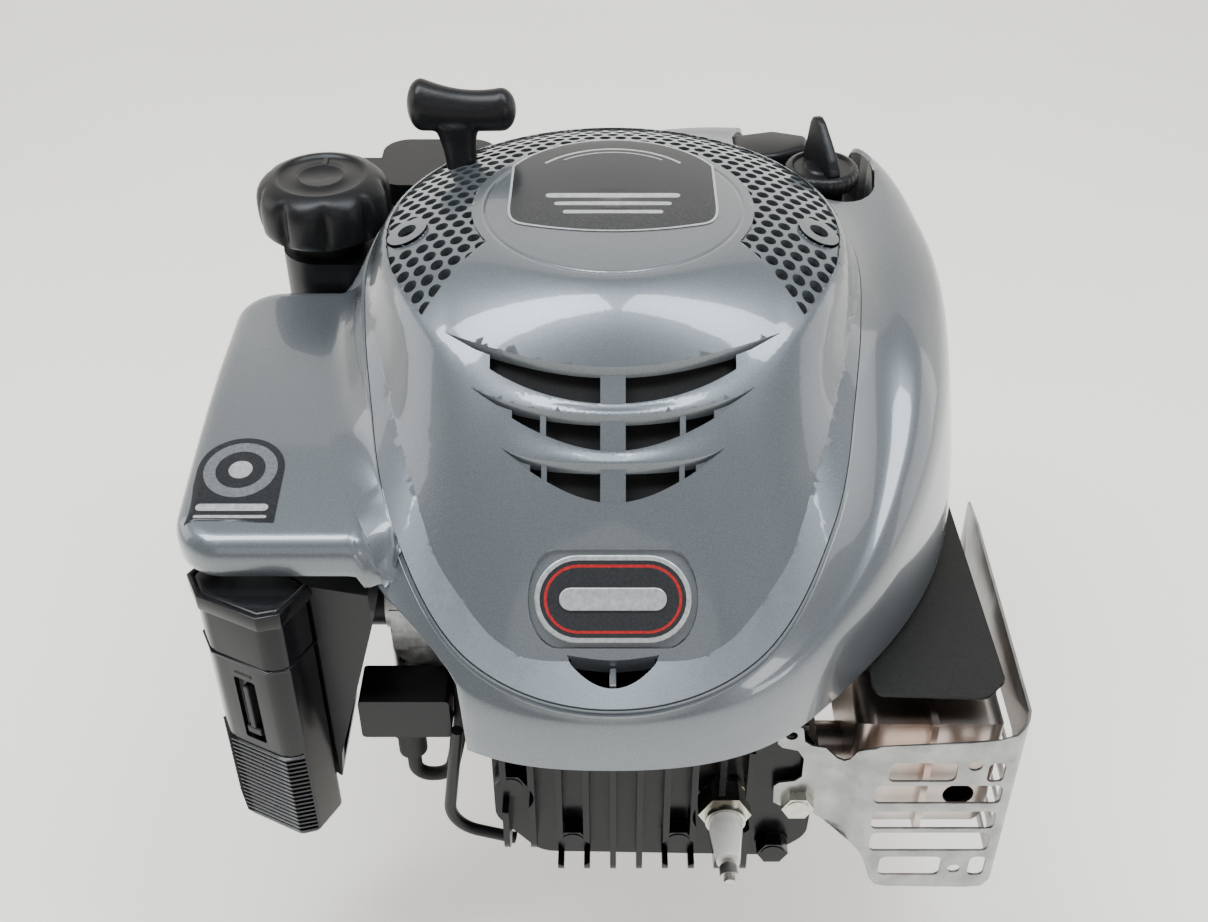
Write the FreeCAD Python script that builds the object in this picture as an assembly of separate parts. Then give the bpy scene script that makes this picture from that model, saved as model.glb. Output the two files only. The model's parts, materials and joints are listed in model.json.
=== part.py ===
import FreeCAD, Part

import math
import os

from FreeCAD import Matrix, Rotation, Vector

# Small side-valve petrol engine with a vertical crankshaft.
# Row frame: origin on the crankshaft axis at the mounting face, +Z up, the
# cylinder lies along -Y, +X is to the right when looking at the cylinder head.
# All lengths in millimetres.

os.makedirs("parts", exist_ok=True)

# ---- driving dimensions -------------------------------------------------
BORE_R = 34.15
THROW = 25.9
ROD_LENGTH = 84.0
CYL_Z = 62.0
DECK_Y = -137.0
GASKET_T = 1.2
HEAD_BACK_Y = DECK_Y - GASKET_T
HEAD_FRONT_Y = -152.0
FIN_TIP_Y = -166.0

SHAFT_R = 11.11
SHAFT_END_Z = -80.0
JOURNAL_R = 12.7
RUNNING_GAP = 0.05

SUMP_TOP_Z = 20.0
SEAM_T = 0.8
CASE_BOTTOM_Z = SUMP_TOP_Z + SEAM_T
CASE_TOP_Z = 108.0
CASE_X0, CASE_X1 = -66.0, 109.0
CASE_Y0, CASE_Y1 = -58.0, 72.0
WALL = 6.0

MOUNT_PCD = 203.2
MOUNT_HOLE_R = 4.35
MOUNT_ANGLES = (60.0, 180.0, 300.0)

MODULE = 1.75
CRANK_TEETH = 22
CAM_TEETH = 44
GOV_TEETH = 16
GEAR_Z0, GEAR_Z1 = 24.0, 33.5
CAM_X = MODULE * (CRANK_TEETH + CAM_TEETH) / 2
VALVE_Z = (45.0, 79.0)
VALVE_LIFT = 5.5

FLYWHEEL_R = 95.0
FLYWHEEL_Z0 = 140.0
PULLEY_Z = 232.0
PULLEY_GROOVE_R = 28.0

SHELL_T = 2.5
WING_X = 182.0
WING_Y = 146.0
SEAM_GAP = 0.4
LABEL_R = 60.0
LABEL_Z = 267.0
MESH_R = 102.0
BADGE_PLACE = Vector(0, -155, 184.0)
TONGUE_TILT = 43.5

# cylinder head outline and its screws, as (x, z)
HEAD_OUTLINE = ((-54, 34), (-34, 8), (74, 5), (90, 20), (92, 78), (72, 114), (-28, 116), (-54, 92))
HEAD_BOLTS = ((-45.5, 64), (-18.5, 25), (30, 25), (74, 16), (83, 50), (62, 104), (15, 110), (-30, 103))
GUARD_BOLT = 4
BOLT_R = 4.0
PLUG_X, PLUG_Z = 50.0, 51.0
# screws between sump and block, as (x, y)
SUMP_BOLTS = ((-76, -30), (-76, 45), (-32, 82), (84, 82), (119, 45), (119, -30))

# governor gear: it meshes with the cam gear at this angle from the cam axis
GOV_ANGLE = 125.0
GOV_REACH = MODULE * (CAM_TEETH + GOV_TEETH) / 2
GOV_X = CAM_X + GOV_REACH * math.cos(math.radians(GOV_ANGLE))
GOV_Y = GOV_REACH * math.sin(math.radians(GOV_ANGLE))
GOVERNOR_ARM_X, GOVERNOR_ARM_Y = -76.0, -22.0

# gas, fuel and oil passages
PORT_R = 8.0
MUFFLER_PORT_Y = -117.5
MANIFOLD_Z = 128.0
CARB_X, CARB_Y = -86.0, -104.0
OIL_PASSAGE_X, OIL_PASSAGE_Z = 97.0, 45.0
DIPSTICK_X, DIPSTICK_Y = 104.0, 84.0
FILLER_X, FILLER_Y = -141.0, 61.0
TANK_INNER_R = 124.5
GUARD_T = 1.5

# air cleaner cover in plan: left corner, ridge, inner corners
COVER_PLAN = ((-176, -131), (-170, -143), (-144, -156), (-136, -154), (-127, -137), (-163, -109))
CLEANER_Z0, CLEANER_Z1 = 24.0, 166.0

# starter, brake and ignition
ROPE_EXIT = Vector(-66, 47, 232)
ROPE_AXIS = Vector(-0.25, 0.35, 0.9).normalize()
POST_R = 6.0
PAWL_X, PAWL_Y = 14.0, -18.0
BRAKE_X, BRAKE_Y = 108.0, 46.0
ARMATURE_POSTS = ((-19.5, -108), (19.5, -108))
LEAD_ROUTE = (Vector(-8, -110, 163.3), Vector(-8, -110, 184), Vector(-40, -122, 180), Vector(-63, -131, 150),
              Vector(-67, -131, 110), Vector(-69, -131, 72), Vector(-76, -132, 40), Vector(-92, -132, 40),
              Vector(-92, -132, 62))

# ---- helpers ------------------------------------------------------------
X_AXIS = Vector(1, 0, 0)
Y_AXIS = Vector(0, 1, 0)
Z_AXIS = Vector(0, 0, 1)
ORIGIN = Vector(0, 0, 0)


def box(x0, x1, y0, y1, z0, z1):
    """Axis-aligned block between two values on each axis."""
    return Part.makeBox(x1 - x0, y1 - y0, z1 - z0, Vector(x0, y0, z0))


def rod_z(x, y, r, z0, z1):
    return Part.makeCylinder(r, z1 - z0, Vector(x, y, z0), Z_AXIS)


def rod_y(x, z, r, y0, y1):
    return Part.makeCylinder(r, y1 - y0, Vector(x, y0, z), Y_AXIS)


def rod_x(y, z, r, x0, x1):
    return Part.makeCylinder(r, x1 - x0, Vector(x0, y, z), X_AXIS)


def ring_z(x, y, r_out, r_in, z0, z1):
    return rod_z(x, y, r_out, z0, z1).cut(rod_z(x, y, r_in, z0 - 1, z1 + 1))


def fuse_all(shapes):
    """One solid from many touching ones."""
    first = shapes[0]
    if len(shapes) > 1:
        first = first.fuse(shapes[1:])
    return first.removeSplitter()


def cut_all(shape, tools):
    for tool in tools:
        shape = shape.cut(tool)
    return shape


def prism(points, z0, z1):
    """Vertical prism over a plan outline of (x, y) points."""
    ring = [Vector(x, y, z0) for x, y in points]
    face = Part.Face(Part.makePolygon(ring + ring[:1]))
    return face.extrude(Vector(0, 0, z1 - z0))


def prism_y(points, y0, y1):
    """Prism along Y over an outline of (x, z) points."""
    ring = [Vector(x, y0, z) for x, z in points]
    face = Part.Face(Part.makePolygon(ring + ring[:1]))
    return face.extrude(Vector(0, y1 - y0, 0))


def edges_along(shape, axis):
    """The straight edges of a shape that run along an axis."""
    found = []
    for edge in shape.Edges:
        if edge.Curve.TypeId != "Part::GeomLine":
            continue
        if abs(edge.tangentAt(edge.FirstParameter).dot(axis)) > 0.999:
            found.append(edge)
    return found


def round_along(shape, radius, axis):
    return shape.makeFillet(radius, edges_along(shape, axis))


def hexagon(x, y, across_flats, z0, z1):
    """Hexagonal prism standing on Z."""
    r = across_flats / math.sqrt(3)
    turns = [math.radians(60 * i) for i in range(6)]
    return prism([(x + r * math.cos(a), y + r * math.sin(a)) for a in turns], z0, z1)


def turned_to(shape, axis, place):
    """A shape made along +Z at the origin, turned to an axis and moved."""
    out = shape.copy()
    out.Placement = FreeCAD.Placement(place, Rotation(Z_AXIS, axis))
    return out


def hex_bolt(axis, seat, across_flats, head_t, shank_r, shank_l):
    """Flanged hex screw: the head rises from the seat along axis."""
    head = hexagon(0, 0, across_flats, 0.6, head_t)
    flange = rod_z(0, 0, across_flats * 0.62, 0, 1.4)
    shank = rod_z(0, 0, shank_r, -shank_l, 0.2)
    dome = rod_z(0, 0, across_flats * 0.42, head_t - 0.2, head_t + 0.4)
    return turned_to(fuse_all([head, flange, shank, dome]), axis, seat)


def bent_tube(points, radius):
    """Round bar or hose along straight runs joined by tangent arcs."""
    edges = []
    start = points[0]
    for before, corner, after in zip(points, points[1:], points[2:]):
        a = (before - corner).normalize()
        b = (after - corner).normalize()
        half_turn = (math.pi - a.getAngle(b)) / 2
        reach = 0.45 * min((before - corner).Length, (after - corner).Length)
        bend_r = reach / math.tan(half_turn)
        p = corner + a * reach
        q = corner + b * reach
        to_centre = (a + b).normalize()
        middle = corner + to_centre * (math.hypot(bend_r, reach) - bend_r)
        edges.append(Part.LineSegment(start, p).toShape())
        edges.append(Part.Arc(p, middle, q).toShape())
        start = q
    edges.append(Part.LineSegment(start, points[-1]).toShape())
    path = Part.Wire(edges)
    first = (points[1] - points[0]).normalize()
    profile = Part.Wire(Part.makeCircle(radius, points[0], first))
    return path.makePipeShell([profile], True, False)


def spur_gear(x, y, teeth, z0, z1, phase_deg, bore_r):
    """Straight-toothed wheel with a tooth centred on phase_deg."""
    pitch_r = MODULE * teeth / 2
    tip_r = pitch_r + 0.92 * MODULE
    root_r = pitch_r - 1.2 * MODULE
    step = 2 * math.pi / teeth
    # half the tooth's angle at the root, the pitch circle and the tip
    profile = ((root_r, 0.36), (pitch_r, 0.235), (tip_r, 0.105))
    outline = []
    for i in range(teeth):
        mid = math.radians(phase_deg) + i * step
        for radius, share in profile:
            outline.append((radius, mid - share * step))
        for radius, share in reversed(profile):
            outline.append((radius, mid + share * step))
    points = [(x + r * math.cos(a), y + r * math.sin(a)) for r, a in outline]
    return prism(points, z0, z1).cut(rod_z(x, y, bore_r, z0 - 1, z1 + 1))


NODES = {}


def keep(name, shape):
    """Write one node's solids to its STEP file."""
    solids = shape.Solids
    for solid in solids:
        if not solid.isValid() or solid.Volume <= 0:
            print("BAD SOLID", name, solid.Volume)
    out = solids[0] if len(solids) == 1 else Part.makeCompound(solids)
    out.exportStep("parts/%s.step" % name)
    NODES[name] = out
    b = out.BoundBox
    print("%-22s n=%d v=%9.1f x %.1f %.1f y %.1f %.1f z %.1f %.1f" % (
        name, len(solids), out.Volume, b.XMin, b.XMax, b.YMin, b.YMax, b.ZMin, b.ZMax))


# ---- blower housing and top cover --------------------------------------
# Both are one blown-out surface, described by closed curves about the crank
# axis.  Each curve gives (radius, height) at these angles, right side first.
STATIONS = (-90, -72, -54, -36, -18, 0, 22, 45, 66, 90, 114, 135, 158, 180, 198, 216, 234, 252)

CREST = ((191.5, 150), (183, 158.5), (154, 186), (127.5, 210), (115, 227), (112, 236),
         (113, 240), (115, 242), (117, 243), (118, 243))
CREST_INNER = tuple(CREST[k] for k in range(8, 0, -1))
SHOULDER = ((193.5, 145), (187, 150), (166, 163), (146, 193), (132.5, 216), (128.5, 226),
            (145, 233), (172, 237), (150, 238), (128, 238), (121, 238), (119.5, 234),
            (120, 222), (126, 204), (129, 200), (143, 194), (168, 174), (187, 150))
BULGE = ((194.5, 132), (192, 133), (174, 141), (162, 160), (159, 180), (158, 200),
         (166, 215), (182, 222), (162, 222), (136, 222), (121.5, 222), (120.5, 215),
         (121, 205), (127, 180), (131, 178), (146, 172), (171, 158), (192, 133))
LIP = ((194.5, 117), (193, 117), (176, 117), (169, 117), (167, 117), (166, 117),
       (172, 117), (187, 117), (168, 117), (142, 117), (122, 117), (121.5, 117),
       (121.5, 117), (128, 117), (132, 117), (148, 117), (173, 117), (193, 117))


def mesh_rim_height(angle):
    """The dome's height on the air-hole band's outer circle."""
    front = max(0.0, math.cos(math.radians(angle + 90)))
    return 255.0 - 20.0 * front ** 2.2


def closed_curve(pairs, inward=0.0, down=0.0):
    """Smooth closed curve through one (radius, height) per station."""
    points = []
    for angle, (radius, height) in zip(STATIONS, pairs):
        a = math.radians(angle)
        r = radius - inward
        points.append(Vector(r * math.cos(a), r * math.sin(a), height - down))
    curve = Part.BSplineCurve()
    curve.interpolate(Points=points, PeriodicFlag=True)
    return Part.Wire(curve.toShape())


def blown_form(inward, down, foot_z):
    """The dome, the shoulder and the skirt as one closed solid."""
    label = tuple((LABEL_R, LABEL_Z) for _ in STATIONS)
    mesh_rim = tuple((MESH_R, mesh_rim_height(a)) for a in STATIONS)
    foot = tuple((r, foot_z + down) for r, _ in LIP)
    crest = CREST + CREST_INNER
    rings = (label, mesh_rim, crest, SHOULDER, BULGE, LIP, foot)
    wires = [closed_curve(ring, inward, down) for ring in rings]
    return Part.makeLoft(wires, True, True)


def wing_form(shrink):
    """The flat shoulder over the air cleaner on the left."""
    body = box(-WING_X + shrink, -100, -WING_Y + shrink, 37 - shrink, 150, 202 - shrink)
    body = round_along(body, 24 - shrink, Z_AXIS)
    top = [e for e in body.Edges if e.BoundBox.ZMin > 201 - shrink]
    return body.makeFillet(11 - shrink, top)


def handle_pocket(grow):
    """Sunk seat in the dome under the starter handle."""
    pocket = box(-116, -54 + grow, -17 - grow, 17 + grow, 243 - grow, 300)
    pocket = round_along(pocket, 8, Z_AXIS)
    pocket.rotate(ORIGIN, Z_AXIS, -35.5)
    return pocket


def louvre(y_mid, half_w, rise, depth):
    """Curved air slot seen from above: two arcs that meet at its tips."""
    left = Vector(-half_w, y_mid + rise, 120)
    right = Vector(half_w, y_mid + rise, 120)
    upper = Part.Arc(left, Vector(0, y_mid, 120), right)
    lower = Part.Arc(right, Vector(0, y_mid - depth, 120), left)
    face = Part.Face(Part.Wire([upper.toShape(), lower.toShape()]))
    return face.extrude(Vector(0, 0, 150))


def air_holes():
    """Staggered round holes in the C-shaped band of the dome."""
    holes = []
    for row in range(5):
        r = 68.0 + 7.0 * row
        count = int(2 * math.pi * r / 9.5)
        for k in range(count):
            a = (k + 0.5 * (row % 2)) * 360.0 / count
            if -142 < (a if a < 180 else a - 360) < -38:
                continue
            if 126 < a < 162:
                continue
            x = r * math.cos(math.radians(a))
            y = r * math.sin(math.radians(a))
            holes.append(rod_z(x, y, 2.7, 240, 275))
    return holes


def cut_in_batches(shape, tools, size=12):
    """Many small holes, a few at a time, which the kernel takes better."""
    for first in range(0, len(tools), size):
        shape = shape.cut(tools[first:first + size])
    return shape


def badge_plate(half_w, half_h, thickness, sink):
    """Rounded plate lying on the sloping front of the cover."""
    plate = box(-half_w, half_w, -half_h, half_h, -sink, thickness - sink)
    plate = round_along(plate, half_h * 0.75, Z_AXIS)
    plate.Placement = FreeCAD.Placement(BADGE_PLACE, Rotation(X_AXIS, TONGUE_TILT))
    return plate


def largest(shape):
    """Drop the loose crumbs that a trim leaves behind."""
    return max(shape.Solids, key=lambda solid: solid.Volume)


def crest_plug(gap):
    """Vertical plug inside the crest line: it parts cover and housing."""
    ring = tuple((r, 0.0) for r, _ in CREST + CREST_INNER)
    return Part.Face(closed_curve(ring, gap, -60.0)).extrude(Vector(0, 0, 300))


def make_shrouds():
    outer = blown_form(0, 0, 105)
    inner = blown_form(SHELL_T, SHELL_T, 85)
    pocket = handle_pocket(0)
    cover_out = outer.common(crest_plug(SEAM_GAP)).cut(pocket)
    cover_in = inner.cut(handle_pocket(SHELL_T))
    cover = cover_out.cut(cover_in)
    post = rod_z(0, 0, POST_R, 214, LABEL_Z - 1).fuse(rod_z(0, 0, 14, 259, LABEL_Z - 1))
    cover = cover.fuse(post)
    cuts = [louvre(-91, 58, 24, 12), louvre(-109, 47, 18, 12), louvre(-127, 38, 13, 11)]
    cuts.append(turned_to(rod_z(0, 0, 9.2, 4, 30), ROPE_AXIS, ROPE_EXIT))
    cuts.append(box(-18, 18, -188, -183, 140, 175))
    cuts.append(badge_plate(34.3, 18.8, 6, 1.2))
    cover = cut_in_batches(cut_all(cover, cuts), air_holes())
    keep("top_cover", largest(cover))

    shell_out = outer.fuse(wing_form(0))
    shell_in = inner.fuse(wing_form(SHELL_T)).fuse(box(-WING_X + 3, -103, -WING_Y + 3, 34, 140, 190))
    housing = shell_out.cut(shell_in).cut(crest_plug(0))
    low_left = prism_y([(-62, 90), (-62, 120), (-92, 168), (-128, 177), (-215, 177), (-215, 90)], -215, 30)
    housing = housing.cut(low_left)
    housing = housing.cut(box(-215, 215, -215, 215, 60, 117))
    housing = housing.cut(rod_z(DIPSTICK_X, DIPSTICK_Y, 21.5, 190, 260))
    housing = housing.cut(box(-200, -100, 36.5, 200, 100, 203))
    keep("blower_housing", largest(housing))


# ---- cylinder block, sump and head -------------------------------------
def case_box(grow, z0, z1, radius):
    return round_along(box(CASE_X0 - grow, CASE_X1 + grow, CASE_Y0 - grow, CASE_Y1 + grow, z0, z1), radius, Z_AXIS)


def case_cavity(z0, z1):
    return box(CASE_X0 + WALL, CASE_X1 - WALL, CASE_Y0 + 14, CASE_Y1 - WALL, z0, z1)


def flange_ring(z0, z1):
    """Bolting rim shared by the sump, the gasket and the block."""
    rim = case_box(5, z0, z1, 14)
    bosses = [rod_z(x, y, 9, z0, z1) for x, y in SUMP_BOLTS]
    return fuse_all([rim] + bosses)


def head_profile(y0, y1):
    return round_along(prism_y(HEAD_OUTLINE, y0, y1), 14, Y_AXIS)


def make_block():
    case = case_box(0, CASE_BOTTOM_Z, CASE_TOP_Z, 12).fuse(flange_ring(CASE_BOTTOM_Z, CASE_BOTTOM_Z + 9))
    case = case.cut(case_cavity(CASE_BOTTOM_Z - 1, CASE_TOP_Z - 8))
    parts = [case, rod_y(0, CYL_Z, BORE_R + 7, DECK_Y, CASE_Y0 + 2)]
    parts.append(box(34, 80, DECK_Y, CASE_Y0 + 2, 26, 98))
    parts.append(head_profile(DECK_Y, DECK_Y + 8))
    for k in range(6):
        y = -120.0 + 10 * k
        fin = round_along(box(-53, 44, y, y + 2.4, 13, 114), 26, Y_AXIS)
        parts.append(fin)
    parts.append(rod_z(0, 0, 24, CASE_TOP_Z - 2, 122))
    for x, y in ARMATURE_POSTS:
        parts.append(rod_z(x, y, 6, 98, 146))
    parts.append(rod_z(BRAKE_X, BRAKE_Y, 8, 60, 146))
    parts.append(rod_z(GOVERNOR_ARM_X, GOVERNOR_ARM_Y, 7, 70, 120))
    parts.append(box(GOVERNOR_ARM_X, CASE_X0 + 2, GOVERNOR_ARM_Y - 4, GOVERNOR_ARM_Y + 4, 74, 100))
    parts.append(round_along(box(38, 78, -130, -105, 90, 101), 4, Z_AXIS))
    block = fuse_all(parts)
    cuts = [rod_y(0, CYL_Z, BORE_R, DECK_Y - 1, CASE_Y0 + 15)]
    cuts.append(rod_z(0, 0, JOURNAL_R + RUNNING_GAP, 90, 130))
    cuts.append(rod_z(0, 0, 19, 116, 130))
    cuts.append(rod_z(CAM_X, 0, 6.55, 90, 105))
    cuts.append(box(46, 81, -102, -62, 32, 92))
    for z, head_r in zip(VALVE_Z, (12.5, 14.0)):
        cuts.append(rod_y(CAM_X, z, head_r + 0.3, DECK_Y - 1, -133.5))
        cuts.append(rod_y(CAM_X, z, head_r - 2.5, -134, -112))
        cuts.append(rod_y(CAM_X, z, 3.55, -113, -100))
        cuts.append(rod_y(CAM_X, z, 4.05, -64, -40))
    cuts.append(rod_x(MUFFLER_PORT_Y, VALVE_Z[0], PORT_R, CAM_X, 90))
    cuts.append(rod_z(CAM_X, MUFFLER_PORT_Y, PORT_R, VALVE_Z[1], 110))
    for x, z in HEAD_BOLTS:
        cuts.append(rod_y(x, z, BOLT_R, DECK_Y - 1, DECK_Y + 9))
    for x, y in SUMP_BOLTS:
        cuts.append(rod_z(x, y, 3.0, CASE_BOTTOM_Z - 1, CASE_BOTTOM_Z + 10))
    cuts.append(rod_z(BRAKE_X, BRAKE_Y, 3.0, 130, 150))
    cuts.append(rod_y(OIL_PASSAGE_X, OIL_PASSAGE_Z, 5, CASE_Y1 - WALL - 1, CASE_Y1 + 1))
    cuts.append(rod_z(GOVERNOR_ARM_X, GOVERNOR_ARM_Y, 3.05, 60, 130))
    for x, y in ARMATURE_POSTS:
        cuts.append(rod_z(x, y, 2.5, 134, 150))
    keep("cylinder_block", cut_all(block, cuts))


def mount_points():
    r = MOUNT_PCD / 2
    return [(r * math.cos(math.radians(a)), r * math.sin(math.radians(a))) for a in MOUNT_ANGLES]


def make_sump():
    parts = [case_box(0, 0, SUMP_TOP_Z, 12), flange_ring(SUMP_TOP_Z - 8, SUMP_TOP_Z)]
    for (x, y), angle in zip(mount_points(), MOUNT_ANGLES):
        arm = box(40, MOUNT_PCD / 2, -13, 13, 0, 12)
        arm.rotate(ORIGIN, Z_AXIS, angle)
        parts.append(arm)
        parts.append(rod_z(x, y, 13, 0, 12))
    sump = fuse_all(parts)
    hollow = case_cavity(WALL, SUMP_TOP_Z + 1)
    bosses = [rod_z(0, 0, 19, 0, 23), rod_z(CAM_X, 0, 12, 0, 22.5), rod_z(GOV_X, GOV_Y, 3.0, 4, 31)]
    sump = fuse_all([sump.cut(hollow)] + bosses)
    cuts = [rod_z(0, 0, JOURNAL_R + RUNNING_GAP, -1, 40), rod_z(0, 0, 17, -1, 6)]
    cuts.append(rod_z(CAM_X, 0, 6.55, 12, 40))
    for x, y in mount_points():
        cuts.append(rod_z(x, y, MOUNT_HOLE_R, -1, 20))
    for x, y in SUMP_BOLTS:
        cuts.append(rod_z(x, y, 3.4, SUMP_TOP_Z - 10, SUMP_TOP_Z + 1))
    keep("sump", cut_all(sump, cuts))
    gasket = flange_ring(SUMP_TOP_Z, CASE_BOTTOM_Z)
    gasket = gasket.cut(case_cavity(SUMP_TOP_Z - 1, CASE_BOTTOM_Z + 1))
    for x, y in SUMP_BOLTS:
        gasket = gasket.cut(rod_z(x, y, 3.4, SUMP_TOP_Z - 1, CASE_BOTTOM_Z + 1))
    head_gasket = head_profile(HEAD_BACK_Y, DECK_Y).cut(rod_y(0, CYL_Z, BORE_R + 0.8, HEAD_BACK_Y - 1, DECK_Y + 1))
    for z in VALVE_Z:
        head_gasket = head_gasket.cut(rod_y(CAM_X, z, 16, HEAD_BACK_Y - 1, DECK_Y + 1))
    for x, z in HEAD_BOLTS:
        head_gasket = head_gasket.cut(rod_y(x, z, BOLT_R + 0.3, HEAD_BACK_Y - 1, DECK_Y + 1))
    keep("gaskets", Part.makeCompound([gasket, head_gasket]))
    lower = ring_z(0, 0, 17, JOURNAL_R + RUNNING_GAP, 0.5, 5.5)
    upper = ring_z(0, 0, 19, JOURNAL_R + RUNNING_GAP, 116.5, 121.5)
    keep("oil_seals", Part.makeCompound([lower, upper]))


def make_head():
    head = head_profile(HEAD_FRONT_Y, HEAD_BACK_Y)
    fins = []
    for k in range(12):
        x = -48.0 + 12.0 * k
        low = 8.0 if -36 < x < 80 else 24.0
        high = 112.0 if -36 < x < 72 else 96.0
        fin = box(x - 1.4, x + 1.4, FIN_TIP_Y, HEAD_FRONT_Y + 1, low, high)
        tips = [e for e in edges_along(fin, X_AXIS) if e.BoundBox.YMax < HEAD_FRONT_Y]
        fins.append(fin.makeFillet(8, tips))
    head = fuse_all([head] + fins)
    cuts = [rod_y(0, CYL_Z, BORE_R - 6, HEAD_BACK_Y - 2.5, HEAD_BACK_Y + 1)]
    for z in VALVE_Z:
        cuts.append(rod_y(CAM_X, z, 15.5, -147, HEAD_BACK_Y + 1))
    cuts.append(box(20, CAM_X, -145, HEAD_BACK_Y + 1, 48, 76))
    for x, z in HEAD_BOLTS:
        cuts.append(rod_y(x, z, BOLT_R + 0.3, HEAD_FRONT_Y - 1, HEAD_BACK_Y + 1))
        cuts.append(rod_y(x, z, 10.5, FIN_TIP_Y - 1, HEAD_FRONT_Y))
    cuts.append(rod_y(PLUG_X, PLUG_Z, 7.0, -160, -140))
    cuts.append(rod_y(PLUG_X, PLUG_Z, 14.5, FIN_TIP_Y - 1, HEAD_FRONT_Y))
    cuts.append(box(70, 100, FIN_TIP_Y - 1, HEAD_FRONT_Y, 14, 120))
    keep("cylinder_head", cut_all(head, cuts))
    bolts = []
    for k, (x, z) in enumerate(HEAD_BOLTS):
        lift = GUARD_T if k == GUARD_BOLT else 0.0
        seat = Vector(x, HEAD_FRONT_Y - lift, z)
        bolts.append(hex_bolt(Vector(0, -1, 0), seat, 12.7, 7.5, BOLT_R, 20 + lift))
    keep("head_bolts", Part.makeCompound(bolts))


def make_spark_plug():
    """Threaded shell with its hex, ribbed insulator and top terminal."""
    hexa = hexagon(0, 0, 20.6, 2, 13)
    shell = fuse_all([hexa, rod_z(0, 0, 10.5, 0, 2.2), rod_z(0, 0, 7, -5, 0.5), rod_z(0, 0, 9, 12.8, 17)])
    shell = shell.cut(rod_z(0, 0, 5.2, -6, 20)).cut(rod_z(0, 0, 7.6, 6, 20))
    strap = box(-1.3, 1.3, -6.5, 0.6, -7.2, -6.0).fuse(box(-1.3, 1.3, -6.5, -5.6, -7.2, -4.9))
    shell = shell.fuse(strap)
    core = rod_z(0, 0, 7.4, 6, 22)
    cone = Part.makeCone(7.4, 5.2, 16, Vector(0, 0, 22))
    nose = rod_z(0, 0, 5.0, -4.5, 6.1)
    core = fuse_all([core, cone, nose]).cut(rod_z(0, 0, 1.6, -8, 40))
    terminal = fuse_all([rod_z(0, 0, 1.5, -5.6, 38), rod_z(0, 0, 3.0, 38, 41), rod_z(0, 0, 4.2, 41, 46),
                         rod_z(0, 0, 2.6, 46, 49)])
    axis = Vector(0, -1, 0)
    place = Vector(PLUG_X, HEAD_FRONT_Y, PLUG_Z)
    keep("spark_plug_shell", turned_to(shell, axis, place))
    keep("spark_plug_insulator", turned_to(core, axis, place))
    keep("spark_plug_terminal", turned_to(terminal, axis, place))


# ---- crank train --------------------------------------------------------
def make_crankshaft():
    web = (41.0, 51.0, 73.0, 83.0)
    parts = [rod_z(0, 0, SHAFT_R, SHAFT_END_Z, 1), rod_z(0, 0, JOURNAL_R, 0, 42)]
    for z0, z1 in ((web[0], web[1]), (web[2], web[3])):
        disc = rod_z(0, 0, 41, z0, z1)
        waist_l = box(-60, -21, -60, -8, z0 - 1, z1 + 1)
        waist_r = box(21, 60, -60, -8, z0 - 1, z1 + 1)
        parts.append(disc.cut(waist_l).cut(waist_r))
    parts.append(rod_z(0, -THROW, JOURNAL_R, web[1] - 1, web[2] + 1))
    parts.append(rod_z(0, 0, JOURNAL_R, web[3] - 1, 126))
    parts.append(rod_z(0, 0, 11, 125, 170))
    parts.append(rod_z(0, 0, 8, 169, 188))
    shaft = fuse_all(parts)
    key_slot = box(-2.38, 2.38, SHAFT_R - 2.4, SHAFT_R + 1, SHAFT_END_Z - 1, SHAFT_END_Z + 45)
    end_hole = rod_z(0, 0, 4.2, SHAFT_END_Z - 1, SHAFT_END_Z + 28)
    chamfer = Part.makeCone(6.0, 4.2, 1.8, Vector(0, 0, SHAFT_END_Z))
    keep("crankshaft", cut_all(shaft, [key_slot, end_hole, chamfer]))
    keep("crank_gear", spur_gear(0, 0, CRANK_TEETH, GEAR_Z0, GEAR_Z1, 0, JOURNAL_R))


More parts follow.
